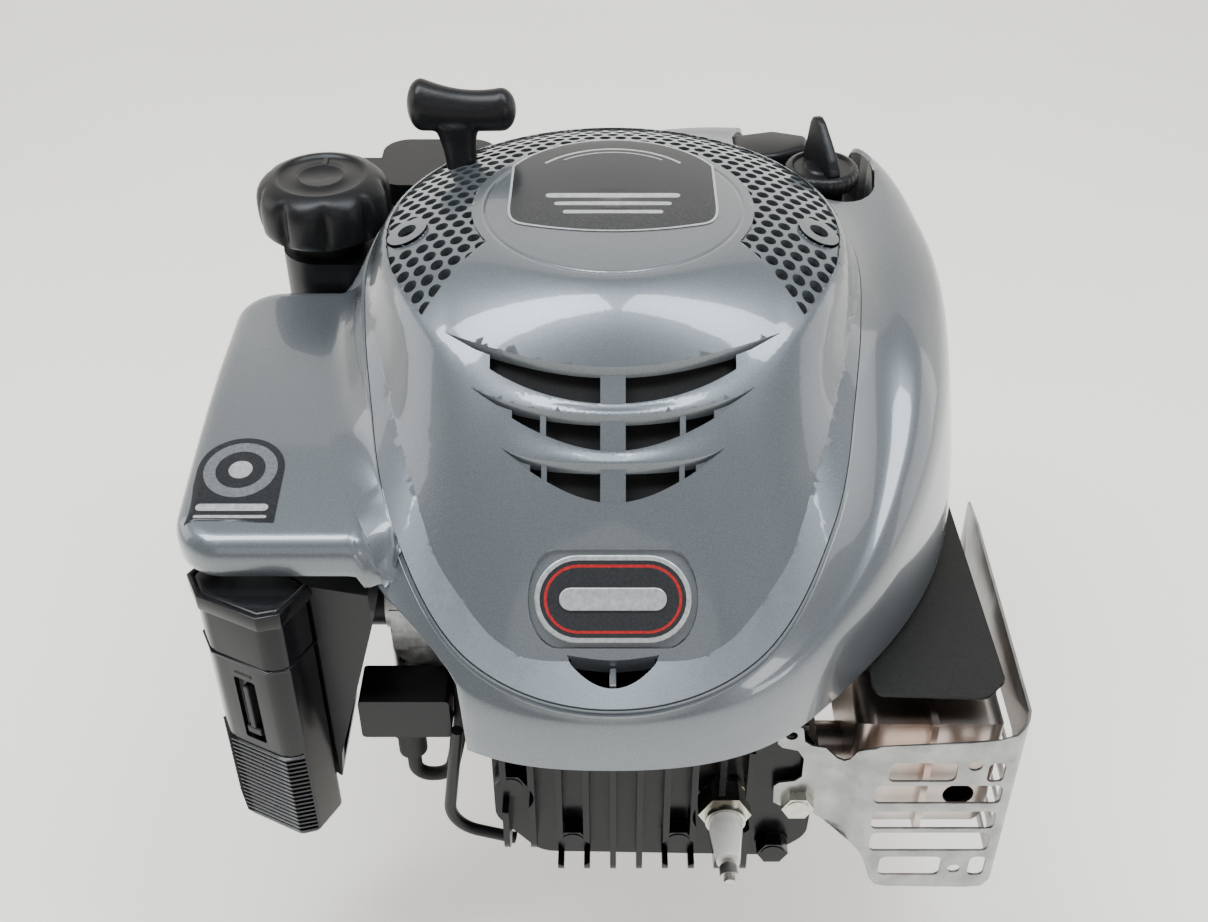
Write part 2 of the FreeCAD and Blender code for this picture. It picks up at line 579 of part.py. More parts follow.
def make_piston_set():
    crown_y = -134.0
    pin_y = -(THROW + ROD_LENGTH)
    piston = rod_y(0, CYL_Z, BORE_R - 0.15, crown_y, crown_y + 40)
    hollow = rod_y(0, CYL_Z, 29, crown_y + 6, crown_y + 41)
    boss = rod_z(0, pin_y, 12, CYL_Z - 32, CYL_Z + 32).cut(box(-20, 20, -140, -80, CYL_Z - 11, CYL_Z + 11))
    piston = piston.cut(hollow).fuse(boss.common(rod_y(0, CYL_Z, 30, crown_y + 2, crown_y + 38)))
    grooves = (crown_y + 4.5, crown_y + 10, crown_y + 16)
    for y in grooves:
        groove = rod_y(0, CYL_Z, BORE_R + 1, y, y + 2.4).cut(rod_y(0, CYL_Z, BORE_R - 3.4, y - 1, y + 3.4))
        piston = piston.cut(groove)
    piston = piston.cut(rod_z(0, pin_y, 8, CYL_Z - 36, CYL_Z + 36))
    keep("piston", piston)
    rings = []
    for k, y in enumerate(grooves):
        ring = rod_y(0, CYL_Z, BORE_R - 0.05, y + 0.2, y + 2.2)
        ring = ring.cut(rod_y(0, CYL_Z, BORE_R - 3.2, y - 1, y + 3))
        gap = box(0, 60, y - 1, y + 3, CYL_Z - 0.4, CYL_Z + 0.4)
        gap.rotate(Vector(0, 0, CYL_Z), Y_AXIS, 120 * k + 30)
        rings.append(ring.cut(gap))
    keep("piston_rings", Part.makeCompound(rings))
    pin = rod_z(0, pin_y, 7.99, CYL_Z - 29, CYL_Z + 29).cut(rod_z(0, pin_y, 4.5, CYL_Z - 30, CYL_Z + 30))
    keep("wrist_pin", pin)
    big = rod_z(0, -THROW, 17.5, CYL_Z - 9, CYL_Z + 9)
    lugs = box(-24, 24, -THROW - 6, -THROW + 6, CYL_Z - 7, CYL_Z + 7)
    beam = prism([(-9, -THROW - 10), (9, -THROW - 10), (7, pin_y + 8), (-7, pin_y + 8)], CYL_Z - 5, CYL_Z + 5)
    small = rod_z(0, pin_y, 12.5, CYL_Z - 9, CYL_Z + 9)
    rod = fuse_all([big, lugs, beam, small])
    rod = rod.cut(rod_z(0, -THROW, JOURNAL_R + RUNNING_GAP, 40, 80)).cut(rod_z(0, pin_y, 8.04, 40, 80))
    for x in (-20.5, 20.5):
        rod = rod.cut(rod_y(x, CYL_Z, 2.6, -THROW - 20, -THROW + 20))
    above = box(-60, 60, -200, -THROW - 0.05, 0, 120)
    below = box(-60, 60, -THROW + 0.05, 60, 0, 120)
    keep("connecting_rod", rod.common(above))
    bolts = [hex_bolt(Vector(0, 1, 0), Vector(x, -THROW + 6, CYL_Z), 8, 5, 2.6, 12) for x in (-20.5, 20.5)]
    keep("rod_cap", Part.makeCompound([rod.common(below)] + bolts))


# ---- valve train --------------------------------------------------------
def cam_lobe(z, toward_deg):
    """Egg-shaped lobe with its nose towards an angle."""
    a = math.radians(toward_deg)
    base = rod_z(CAM_X, 0, 9, z - 4, z + 4)
    nose = rod_z(CAM_X + 8.5 * math.cos(a), 8.5 * math.sin(a), 5, z - 4, z + 4)
    flank = box(0, 8.5, -6.6, 6.6, z - 4, z + 4)
    flank.rotate(ORIGIN, Z_AXIS, toward_deg)
    flank.translate(Vector(CAM_X, 0, 0))
    return fuse_all([base, nose, flank])


def make_valve_train():
    shaft = fuse_all([rod_z(CAM_X, 0, 6.5, 13, 104), cam_lobe(VALVE_Z[0], 60), cam_lobe(VALVE_Z[1], 165)])
    gear = spur_gear(CAM_X, 0, CAM_TEETH, GEAR_Z0, GEAR_Z1, 180 + 180.0 / CAM_TEETH, 6.4)
    keep("camshaft", fuse_all([shaft, gear]))
    gov = spur_gear(GOV_X, GOV_Y, GOV_TEETH, GEAR_Z0, GEAR_Z1 - 2, governor_phase(), 3.05)
    cup = ring_z(GOV_X, GOV_Y, 10, 3.05, 13, GEAR_Z0 + 1)
    keep("governor_gear", fuse_all([gov, cup]))
    springs = []
    for name, z, head_r in (("exhaust", VALVE_Z[0], 12.5), ("intake", VALVE_Z[1], 14.0)):
        disc = rod_y(CAM_X, z, head_r, DECK_Y, DECK_Y + 2)
        cone = Part.makeCone(head_r, 3.5, 6, Vector(CAM_X, DECK_Y + 2, z), Y_AXIS)
        seat_room = rod_y(CAM_X, z, head_r - 2.6, DECK_Y, DECK_Y + 12)
        cone = cone.common(seat_room)
        valve = fuse_all([disc, cone, rod_y(CAM_X, z, 3.5, DECK_Y + 2, -60)])
        retainer = rod_y(CAM_X, z, 11, -70, -66).cut(rod_y(CAM_X, z, 3.5, -71, -65))
        keep(name + "_valve", Part.makeCompound([valve, retainer]))
        keep(name + "_tappet", fuse_all([rod_y(CAM_X, z, 4.0, -59.9, -15), rod_y(CAM_X, z, 9, -17, -14)]))
        springs.append(valve_spring(z))
    keep("valve_springs", Part.makeCompound(springs))


def governor_phase():
    """Turns the governor gear so that a gap meets the cam gear's tooth."""
    cam_tooth = 180 + 180.0 / CAM_TEETH
    step = 360.0 / CAM_TEETH
    off = (GOV_ANGLE - cam_tooth) % step
    return GOV_ANGLE + 180 + 180.0 / GOV_TEETH + off * CAM_TEETH / GOV_TEETH


def valve_spring(z):
    helix = Part.makeHelix(6.2, 26, 8.6)
    wire = Part.Wire(helix.Edges)
    corners = [Vector(7.6, 0, -1), Vector(9.6, 0, -1), Vector(9.6, 0, 1), Vector(7.6, 0, 1)]
    profile = Part.makePolygon(corners + corners[:1])
    coil = wire.makePipeShell([profile], True, True)
    return turned_to(coil, Vector(0, 1, 0), Vector(CAM_X, -99.6, z))


# ---- flywheel and starter ----------------------------------------------
def make_flywheel():
    hub = ring_z(0, 0, 22, 11, 128, 170)
    disc = ring_z(0, 0, FLYWHEEL_R - 2, 15, FLYWHEEL_Z0, FLYWHEEL_Z0 + 8)
    rim = ring_z(0, 0, FLYWHEEL_R, 82, FLYWHEEL_Z0 - 6, FLYWHEEL_Z0 + 24)
    blades = []
    for k in range(20):
        blade = box(50, 90, -1.6, 1.6, FLYWHEEL_Z0 + 7, FLYWHEEL_Z0 + 46)
        blade.rotate(Vector(70, 0, 0), Z_AXIS, 24)
        blade.rotate(ORIGIN, Z_AXIS, 18 * k)
        blades.append(blade)
    keep("flywheel", fuse_all([hub, disc, rim] + blades))
    keep("flywheel_nut", hexagon(0, 0, 23.8, 174.2, 186).cut(rod_z(0, 0, 8, 170, 190)))
    cup = ring_z(0, 0, 38, 8, 170.2, 174.2).fuse(ring_z(0, 0, 38, 36, 172, 218))
    for k in range(4):
        bite = box(30, 45, -4, 4, 205, 219)
        bite.rotate(ORIGIN, Z_AXIS, 90 * k)
        cup = cup.cut(bite)
    keep("starter_cup", cup)


def spiral_spring(turns, r_in, pitch, thickness, z0, z1):
    """Flat clock spring: half circles that grow by half a pitch each."""
    def run(offset):
        edges = []
        x = r_in + offset
        side = 1
        for k in range(2 * turns):
            r0 = r_in + pitch * k / 2 + offset
            r1 = r_in + pitch * (k + 1) / 2 + offset
            start = Vector(side * r0, 0, z0)
            end = Vector(-side * r1, 0, z0)
            middle = (start + end) * 0.5 + Vector(0, side * (r0 + r1) / 2, 0)
            edges.append(Part.Arc(start, middle, end).toShape())
            side = -side
            x = r1
        return edges, Vector(r_in + offset, 0, z0), Vector(side * x, 0, z0)
    inner, in_start, in_end = run(0.0)
    outer, out_start, out_end = run(thickness)
    caps = [Part.LineSegment(in_start, out_start).toShape(), Part.LineSegment(in_end, out_end).toShape()]
    wire = Part.Wire(Part.__sortEdges__(inner + outer + caps))
    return Part.Face(wire).extrude(Vector(0, 0, z1 - z0))


def rope_route():
    """Tangent point on the pulley, the corner under the guide, the handle."""
    reach = ROPE_EXIT.x, ROPE_EXIT.y
    far = math.hypot(*reach)
    lift = math.acos(PULLEY_GROOVE_R / far)
    a = math.atan2(reach[1], reach[0]) + lift
    start = Vector(PULLEY_GROOVE_R * math.cos(a), PULLEY_GROOVE_R * math.sin(a), PULLEY_Z)
    return [start, Vector(ROPE_EXIT.x, ROPE_EXIT.y, PULLEY_Z), ROPE_EXIT + ROPE_AXIS * 25]


def make_starter():
    groove = rod_z(0, 0, PULLEY_GROOVE_R - 2.3, 226, 238)
    body = fuse_all([rod_z(0, 0, 34, 222, 227), groove, rod_z(0, 0, 34, 237, 242)])
    hub = rod_z(0, 0, 10, 215, 223)
    pin = rod_z(PAWL_X, PAWL_Y, 2.4, 215, 223)
    keep("starter_pulley", fuse_all([body, hub, pin]).cut(rod_z(0, 0, POST_R + RUNNING_GAP, 210, 245)))
    pawl = prism([(10, -20), (17, -23), (19, -17), (31.5, 2), (30, 6), (26, 3), (12, -13)], 216, 221)
    keep("starter_pawl", pawl.cut(rod_z(PAWL_X, PAWL_Y, 2.45, 210, 225)))
    keep("recoil_spring", spiral_spring(8, 9.0, 2.4, 0.8, 244.5, 256))
    rope = bent_tube(rope_route(), 2.2)
    keep("starter_rope", rope)
    guide = fuse_all([rod_z(0, 0, 8.6, -4, 4), rod_z(0, 0, 11.5, 3.5, 6)]).cut(rod_z(0, 0, 3.4, -6, 12))
    keep("rope_guide", turned_to(guide, ROPE_AXIS, ROPE_EXIT + ROPE_AXIS * 15.5))
    stem = Part.makeCone(8.5, 7.0, 26, Vector(0, 0, 0))
    grip = box(-33, 33, -10.5, 10.5, 20, 38)
    grip = grip.makeFillet(6, [e for e in grip.Edges])
    grip.rotate(ORIGIN, Z_AXIS, -28)
    handle = fuse_all([stem, grip]).cut(rod_z(0, 0, 2.3, -1, 14))
    keep("starter_handle", turned_to(handle, ROPE_AXIS, ROPE_EXIT + ROPE_AXIS * 21.5))


# ---- ignition -----------------------------------------------------------
def make_ignition():
    z0, z1 = 146.2, 158.0
    core = box(-34, 34, -126, -96, z0, z1)
    core = core.cut(rod_z(0, 0, FLYWHEEL_R + 0.35, z0 - 1, z1 + 1))
    core = core.cut(box(-26, -9, -119, -90, z0 - 1, z1 + 1)).cut(box(9, 26, -119, -90, z0 - 1, z1 + 1))
    ears = [box(-30, -14, -119.5, -102, z0, z0 + 4), box(14, 30, -119.5, -102, z0, z0 + 4)]
    core = fuse_all([core] + ears)
    for x, y in ARMATURE_POSTS:
        core = core.cut(rod_z(x, y, 2.7, z0 - 1, z1 + 1))
    coil = round_along(box(-13.5, 13.5, -118.5, -98.5, z0 - 4, z1 + 5), 4, Z_AXIS)
    coil = coil.cut(box(-9, 9, -130, -90, z0, z1))
    keep("ignition_armature", Part.makeCompound([core, coil]))
    lead = bent_tube(LEAD_ROUTE, 3.3)
    keep("ignition_lead", lead)
    boot = fuse_all([rod_z(0, 0, 6.5, 0, 16), rod_z(0, 0, 8.5, 14, 32)]).cut(rod_z(0, 0, 3.3, -1, 4))
    boot = boot.cut(rod_z(0, 0, 5.5, 18, 33))
    top = LEAD_ROUTE[-1]
    keep("lead_boot", turned_to(boot, Z_AXIS, Vector(top.x, top.y, top.z - 4)))


# ---- fuel, air and exhaust ---------------------------------------------
def make_tank():
    body = round_along(box(-163, -60, 37.5, 150, 112, 214), 20, Z_AXIS)
    hump = round_along(box(-122, -62, 96, 148, 200, 226), 14, Z_AXIS)
    neck = rod_z(FILLER_X, FILLER_Y, 18, 210, 230)
    outer = fuse_all([body, hump]).cut(rod_z(0, 0, TANK_INNER_R, 100, 240)).fuse(neck)
    hollow = round_along(box(-160.5, -62.5, 40, 147.5, 114.5, 211.5), 17.5, Z_AXIS)
    hollow = hollow.cut(rod_z(0, 0, TANK_INNER_R + 2.5, 100, 240))
    hollow = hollow.fuse(rod_z(FILLER_X, FILLER_Y, 14.5, 205, 232))
    keep("fuel_tank", largest(outer.cut(hollow)))
    cap = fuse_all([rod_z(0, 0, 31, 0, 23), rod_z(0, 0, 25, 22, 26)])
    for k in range(12):
        grip = rod_z(33.5, 0, 4.2, -1, 19)
        grip.rotate(ORIGIN, Z_AXIS, 30 * k)
        cap = cap.cut(grip)
    cap = cap.cut(rod_z(0, 0, 18.4, -1, 7))
    keep("fuel_cap", turned_to(cap, Z_AXIS, Vector(FILLER_X, FILLER_Y, 224.5)))
    keep("fuel_cap_gasket", ring_z(FILLER_X, FILLER_Y, 17.8, 14.6, 230.1, 231.4))


def make_oil_fill():
    tube = rod_z(DIPSTICK_X, DIPSTICK_Y, 11.6, 32, 236)
    foot = box(DIPSTICK_X - 14, DIPSTICK_X + 8, CASE_Y1 + 0.2, DIPSTICK_Y, 34, 56)
    tube = fuse_all([tube, foot]).cut(rod_z(DIPSTICK_X, DIPSTICK_Y, 9.9, 36, 240))
    passage = rod_y(OIL_PASSAGE_X, OIL_PASSAGE_Z, 5, CASE_Y1, DIPSTICK_Y)
    keep("oil_fill_tube", tube.cut(passage))
    knob = fuse_all([rod_z(0, 0, 18.5, 0, 7), rod_z(0, 0, 15, 6, 9), box(-11, 11, -2.4, 2.4, 8, 25)])
    stick = box(-3, 3, -1, 1, -150, 1)
    plug = rod_z(0, 0, 8.3, -12, 0.5)
    cap = fuse_all([knob, plug, stick])
    cap.rotate(ORIGIN, Z_AXIS, 62)
    keep("dipstick", turned_to(cap, Z_AXIS, Vector(DIPSTICK_X, DIPSTICK_Y, 236.2)))
    keep("dipstick_seal", ring_z(DIPSTICK_X, DIPSTICK_Y, 9.8, 8.4, 228, 231))


def make_intake():
    z = MANIFOLD_Z
    route = [Vector(CAM_X, MUFFLER_PORT_Y, 103), Vector(CAM_X, MUFFLER_PORT_Y, z), Vector(30, -127, z),
             Vector(-34, -127, z), Vector(-52, CARB_Y, z), Vector(-71, CARB_Y, z)]
    tube = bent_tube(route, 9.5)
    bore = bent_tube(route, 7.2)
    foot = round_along(box(41.5, 76, -128, -107, 101.2, 105), 4, Z_AXIS)
    flange = round_along(box(-72, -68, CARB_Y - 18, CARB_Y + 18, z - 12, z + 12), 4, X_AXIS)
    manifold = fuse_all([tube, foot, flange]).cut(bore)
    manifold = manifold.cut(rod_z(CAM_X, MUFFLER_PORT_Y, 7.2, 100, 106)).cut(rod_x(CARB_Y, z, 7.2, -74, -66))
    keep("intake_manifold", manifold)
    body = fuse_all([rod_x(CARB_Y, z, 14, -100, -72.2),
                     box(CARB_X - 12, CARB_X + 12, CARB_Y - 14, CARB_Y + 14, z - 20, z + 4),
                     rod_z(CARB_X, CARB_Y, 15, 100, z - 18), rod_z(CARB_X, CARB_Y, 6, z + 4, z + 18)])
    body = cut_all(body, [rod_x(CARB_Y, z, 9, -102, -70), rod_z(CARB_X, CARB_Y, 2.05, z - 14, z + 20)])
    keep("carburetor_body", body)
    bowl = rod_z(CARB_X, CARB_Y, 15, 82, 99.8).cut(rod_z(CARB_X, CARB_Y, 13, 84, 101))
    bowl = bowl.fuse(rod_z(CARB_X, CARB_Y, 5, 78, 84.5))
    keep("float_bowl", bowl)
    shaft = rod_z(CARB_X, CARB_Y, 2.0, z - 13, z + 23)
    disc = rod_x(0, 0, 8.8, -0.6, 0.6)
    disc.translate(Vector(CARB_X, CARB_Y, z))
    lever = fuse_all([box(CARB_X - 4, CARB_X + 4, CARB_Y - 4, CARB_Y + 26, z + 18.3, z + 20.3),
                      rod_z(CARB_X, CARB_Y + 24, 2, z + 20, z + 25)])
    keep("throttle_shaft", fuse_all([shaft, disc, lever]))


def make_air_cleaner():
    cover = round_along(prism(COVER_PLAN, CLEANER_Z0, CLEANER_Z1), 2.5, Z_AXIS)
    inner = prism([(-173, -131), (-168, -141), (-144, -153), (-138, -151), (-120, -130), (-158, -102)],
                  CLEANER_Z0 + 2.5, CLEANER_Z1 - 2.5)
    keep("air_cleaner_cover", largest(cover.cut(inner)))
    filt = prism([(-170, -130.6), (-166.5, -139), (-144, -150.6), (-140, -149), (-130, -136.4), (-160.5, -113)],
                 CLEANER_Z0 + 6, CLEANER_Z1 - 6)
    keep("air_filter", filt)
    plan = [(-162.5, -108.3), (-126.5, -136.4), (-101, -142), (-100.2, -90), (-140, -86)]
    base = prism(plan, 44, CLEANER_Z1 - 2)
    slope = prism_y([(-100, 150), (-90, 166), (-90, 40), (-126, 40), (-124, 60)], -200, -60)
    base = base.cut(slope)
    duct = rod_x(CARB_Y, MANIFOLD_Z, 13, -124, -100.2)
    base = fuse_all([base, duct])
    base = base.cut(prism([(-157, -107), (-129, -129), (-118, -134), (-118, -95), (-138, -91)], 48, 160))
    base = base.cut(rod_x(CARB_Y, MANIFOLD_Z, 9, -130, -99))
    keep("air_cleaner_base", largest(base))


def make_control_side():
    bracket = round_along(box(-112, -72, -143, -121, 78, 101), 2, Y_AXIS)
    bracket = bracket.cut(box(-109.5, -74.5, -141, -123, 70, 98))
    bracket = bracket.fuse(box(-76, -53.2, -124, -121, 84, 96))
    keep("control_bracket", bracket)
    gx, gy = GOVERNOR_ARM_X, GOVERNOR_ARM_Y
    arm = fuse_all([rod_z(gx, gy, 3.0, 66, 129), rod_z(gx, gy, 7, 120.3, 129),
                    box(gx - 5, gx + 5, gy - 62, gy, 126, 128.5)])
    keep("governor_arm", arm)
    wire = bent_tube([Vector(-69, -146, 86), Vector(-77, -147, 22), Vector(-46, -147.5, 12)], 2.8)
    keep("guard_rod", wire)
    pad = ring_z(0, 0, 102, FLYWHEEL_R + 0.4, 150, 160)
    sector = prism([(0, 0), (130, -6), (130, 34)], 149, 161)
    pad = pad.common(sector)
    plate = prism([(99, -2), (104, -2), (116, 44), (112, 54), (102, 52), (97, 30)], 147, 150.2)
    lever = fuse_all([pad, plate]).cut(rod_z(0, 0, FLYWHEEL_R + 0.4, 140, 170))
    lever = lever.cut(rod_z(BRAKE_X, BRAKE_Y, 4.05, 140, 170))
    keep("brake_lever", lever)


def make_case_screws():
    """Sump screws from below, armature screws and the brake's shoulder screw."""
    seat = SUMP_TOP_Z - 8
    screws = [hex_bolt(Vector(0, 0, -1), Vector(x, y, seat), 9.5, 6, 3.0, 17.5) for x, y in SUMP_BOLTS]
    screws += [hex_bolt(Z_AXIS, Vector(x, y, 150.2), 7, 5, 2.5, 14) for x, y in ARMATURE_POSTS]
    screws.append(fuse_all([rod_z(BRAKE_X, BRAKE_Y, 3.0, 132, 147), rod_z(BRAKE_X, BRAKE_Y, 4.0, 146, 150.6),
                            hexagon(BRAKE_X, BRAKE_Y, 10, 150.5, 155)]))
    keep("case_screws", Part.makeCompound(screws))


def make_exhaust():
    stub = rod_x(MUFFLER_PORT_Y, VALVE_Z[0], 10.3, 80.2, 110)
    left = box(107, 139, -154, -72, 34, 99)
    right = box(139, 172, -154, -72, 34, 99)
    left = left.makeFillet(9, [e for e in left.Edges if e.BoundBox.XMax < 138.5])
    right = right.makeFillet(9, [e for e in right.Edges if e.BoundBox.XMin > 139.5])
    left_in = box(109, 140, -152, -74, 36, 97)
    right_in = box(138, 170, -152, -74, 36, 97)
    left_in = left_in.makeFillet(7.5, [e for e in left_in.Edges if e.BoundBox.XMax < 139.5])
    right_in = right_in.makeFillet(7.5, [e for e in right_in.Edges if e.BoundBox.XMin > 138.5])
    rim_l = box(137.5, 139, -157.5, -68.5, 30.5, 102.5)
    rim_r = box(139, 140.5, -157.5, -68.5, 30.5, 102.5)
    left = fuse_all([left, rim_l, stub]).cut(left_in).cut(rod_x(MUFFLER_PORT_Y, VALVE_Z[0], PORT_R, 78, 114))
    right = fuse_all([right, rim_r]).cut(right_in).cut(rod_y(156, 52, 7, -160, -150))
    keep("muffler_shells", Part.makeCompound([left, right]))
    flange = prism_y([(72, 92), (76, 100), (100, 100), (104, 92), (104, 30), (96, 40), (74, 46), (74, 60),
                      (90, 62), (92, 82), (78, 84)], HEAD_FRONT_Y - GUARD_T, HEAD_FRONT_Y)
    ramp = prism([(103, -153.5), (103, -152), (107, -163.5), (108, -165), (106, -165)], 24, 100)
    front = round_along(box(106, 178, -165, -163.5, 1, 104), 4, Y_AXIS)
    side = round_along(box(176.5, 178, -165, -78, 2, 112), 4, X_AXIS)
    guard = fuse_all([flange, ramp, front, side])
    cuts = []
    for row, (x0, x1) in enumerate(((112, 168), (113, 170), (113, 170), (113, 170), (118, 146))):
        z = 80.0 - 18.0 * row
        cuts.append(round_along(box(x0, x1, -170, -160, z - 5, z + 5), 4.5, Y_AXIS))
    for row in range(5):
        z = 84.0 - 18.0 * row
        cuts.append(round_along(box(170, 182, -152, -90, z - 5, z + 5), 4.5, X_AXIS))
    cuts.append(rod_y(HEAD_BOLTS[GUARD_BOLT][0], HEAD_BOLTS[GUARD_BOLT][1], BOLT_R + 0.3, -160, -150))
    cuts.append(rod_y(80, 94, 3, -160, -150))
    cuts.append(round_along(box(151, 166, -170, -160, 3, 13), 4.5, Y_AXIS))
    keep("muffler_guard", largest(cut_all(guard, cuts)))
    plate = prism([(112, -150), (160, -152), (170, -142), (166, -20), (112, -20)], 112.2, 113.8)
    keep("heat_plate", round_along(plate, 5, Z_AXIS))


def make_covers_trim():
    breather = round_along(box(80.2, 88, -106, -59, 30.5, 94), 5, X_AXIS)
    keep("breather_cover", breather.cut(box(79, 85.5, -103, -62, 33, 91)))
    keep("front_badge", badge_plate(34, 18.5, 3, 1.0))


make_shrouds()
make_block()
make_sump()
make_head()
make_spark_plug()
make_crankshaft()
make_piston_set()
make_valve_train()
make_flywheel()
make_starter()
make_ignition()
make_tank()
make_oil_fill()
make_intake()
make_air_cleaner()
make_control_side()
make_case_screws()
make_exhaust()
make_covers_trim()
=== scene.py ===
import json
import math

import bmesh
import bpy
from mathutils import Matrix, Vector
from mathutils.geometry import delaunay_2d_cdt


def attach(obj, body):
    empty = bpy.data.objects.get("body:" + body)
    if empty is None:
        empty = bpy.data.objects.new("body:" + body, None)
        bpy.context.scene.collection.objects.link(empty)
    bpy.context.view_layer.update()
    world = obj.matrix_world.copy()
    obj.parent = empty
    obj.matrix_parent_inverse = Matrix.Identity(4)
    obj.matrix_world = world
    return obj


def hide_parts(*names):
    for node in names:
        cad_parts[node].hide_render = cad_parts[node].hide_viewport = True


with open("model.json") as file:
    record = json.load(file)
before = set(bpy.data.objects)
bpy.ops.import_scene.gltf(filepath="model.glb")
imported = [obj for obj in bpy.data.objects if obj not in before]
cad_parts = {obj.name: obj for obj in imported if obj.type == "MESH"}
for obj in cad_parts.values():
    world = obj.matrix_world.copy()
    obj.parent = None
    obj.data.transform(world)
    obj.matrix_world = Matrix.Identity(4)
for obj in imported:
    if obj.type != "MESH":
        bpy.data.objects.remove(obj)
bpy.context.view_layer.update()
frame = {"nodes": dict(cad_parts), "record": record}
NODES = frame["nodes"]
MM = 0.001
ROOT = "engine_frame"


# ---- materials ----------------------------------------------------------
def new_material(name, color, metallic=0.0, roughness=0.5, coat=0.0, coat_roughness=0.05):
    mat = bpy.data.materials.new(name)
    mat.use_nodes = True
    shader = mat.node_tree.nodes["Principled BSDF"]
    shader.inputs["Base Color"].default_value = (*color, 1)
    shader.inputs["Metallic"].default_value = metallic
    shader.inputs["Roughness"].default_value = roughness
    shader.inputs["Coat Weight"].default_value = coat
    shader.inputs["Coat Roughness"].default_value = coat_roughness
    return mat, shader


def add_noise(mat, shader, scale, dark, light, rough=None, bump=0.0, detail=4.0, stretch=None):
    """Colour, roughness and bump from one noise in object space."""
    tree = mat.node_tree
    coords = tree.nodes.new("ShaderNodeTexCoord")
    noise = tree.nodes.new("ShaderNodeTexNoise")
    noise.inputs["Scale"].default_value = scale
    noise.inputs["Detail"].default_value = detail
    vector = coords.outputs["Object"]
    if stretch:
        mapping = tree.nodes.new("ShaderNodeMapping")
        mapping.inputs["Scale"].default_value = stretch
        tree.links.new(vector, mapping.inputs["Vector"])
        vector = mapping.outputs["Vector"]
    tree.links.new(vector, noise.inputs["Vector"])
    ramp = tree.nodes.new("ShaderNodeValToRGB")
    ramp.color_ramp.elements[0].position = 0.35
    ramp.color_ramp.elements[1].position = 0.68
    ramp.color_ramp.elements[0].color = (*dark, 1)
    ramp.color_ramp.elements[1].color = (*light, 1)
    tree.links.new(noise.outputs["Fac"], ramp.inputs["Fac"])
    tree.links.new(ramp.outputs["Color"], shader.inputs["Base Color"])
    if rough:
        spread = tree.nodes.new("ShaderNodeMapRange")
        spread.inputs["To Min"].default_value = rough[0]
        spread.inputs["To Max"].default_value = rough[1]
        tree.links.new(noise.outputs["Fac"], spread.inputs["Value"])
        tree.links.new(spread.outputs["Result"], shader.inputs["Roughness"])
    if bump:
        relief = tree.nodes.new("ShaderNodeBump")
        relief.inputs["Strength"].default_value = bump
        relief.inputs["Distance"].default_value = 0.2 * MM
        tree.links.new(noise.outputs["Fac"], relief.inputs["Height"])
        tree.links.new(relief.outputs["Normal"], shader.inputs["Normal"])
    return noise


def make_silver():
    mat, shader = new_material("silver_paint", (0.15, 0.166, 0.181), 0.6, 0.36, 1.0, 0.05)
    add_noise(mat, shader, 2600.0, (0.126, 0.142, 0.157), (0.176, 0.194, 0.211), detail=1.0)
    return mat


def make_plastic(name, color, rough=(0.38, 0.52), bump=0.25, gloss=0.3):
    mat, shader = new_material(name, color)
    shader.inputs["Specular IOR Level"].default_value = gloss
    light = tuple(c * 1.5 + 0.002 for c in color)
    add_noise(mat, shader, 900.0, color, light, rough, bump, 6.0)
    return mat


def make_metal(name, dark, light, rough, scale=60.0, bump=0.1, stretch=None, metallic=1.0):
    mat, shader = new_material(name, light, metallic)
    if metallic < 0.5:
        shader.inputs["Specular IOR Level"].default_value = 0.25
    add_noise(mat, shader, scale, dark, light, rough, bump, 5.0, stretch=stretch)
    return mat


SILVER = make_silver()
BLACK = make_plastic("black_plastic", (0.005, 0.005, 0.006), (0.3, 0.44), 0.2)
GLOSS_BLACK = make_plastic("black_plastic_smooth", (0.004, 0.004, 0.005), (0.16, 0.26), 0.06)
RUBBER = make_plastic("black_rubber", (0.016, 0.016, 0.016), (0.55, 0.7), 0.3)
# near-black rough finish for sheets behind openings: painted shade, not a real part
SHADE_BLACK = make_plastic("painted_shade_black", (0.006, 0.006, 0.006), (0.7, 0.8), 0.1)
CASTING = make_metal("black_paint", (0.003, 0.003, 0.004), (0.008, 0.008, 0.009), (0.14, 0.30), 160.0, 0.25,
                     metallic=0.0)
ALLOY = make_metal("cast_alloy", (0.42, 0.42, 0.42), (0.66, 0.66, 0.65), (0.4, 0.6), 300.0, 0.3)
STEEL = make_metal("steel", (0.40, 0.39, 0.37), (0.62, 0.61, 0.59), (0.22, 0.42), 120.0, 0.15)
ZINC = make_metal("zinc_steel", (0.46, 0.44, 0.38), (0.70, 0.68, 0.62), (0.2, 0.4), 140.0, 0.2)
BRIGHT = make_metal("bright_guard", (0.27, 0.27, 0.265), (0.40, 0.40, 0.39), (0.24, 0.40), 90.0, 0.10)
MUFFLER = make_metal("muffler_steel", (0.46, 0.33, 0.27), (0.66, 0.64, 0.62), (0.24, 0.40), 22.0, 0.08)
IRON = make_metal("iron", (0.10, 0.10, 0.10), (0.22, 0.22, 0.22), (0.45, 0.65), 200.0, 0.3)
CERAMIC, _s = new_material("white_ceramic", (0.82, 0.80, 0.76), 0.0, 0.18, 0.6)
add_noise(CERAMIC, _s, 120.0, (0.76, 0.74, 0.70), (0.86, 0.85, 0.82))
ROPE = make_plastic("rope", (0.35, 0.34, 0.31), (0.8, 0.9), 0.6)
GASKET = make_plastic("gasket", (0.08, 0.08, 0.08), (0.8, 0.9), 0.2)
FOAM = make_plastic("filter_foam", (0.02, 0.08, 0.42), (0.7, 0.85), 0.6)
BADGE = make_plastic("badge_grey", (0.03, 0.03, 0.033), (0.15, 0.25), 0.05)
PLATE = make_plastic("heat_plate_paint", (0.006, 0.006, 0.006), (0.42, 0.55), 0.4)

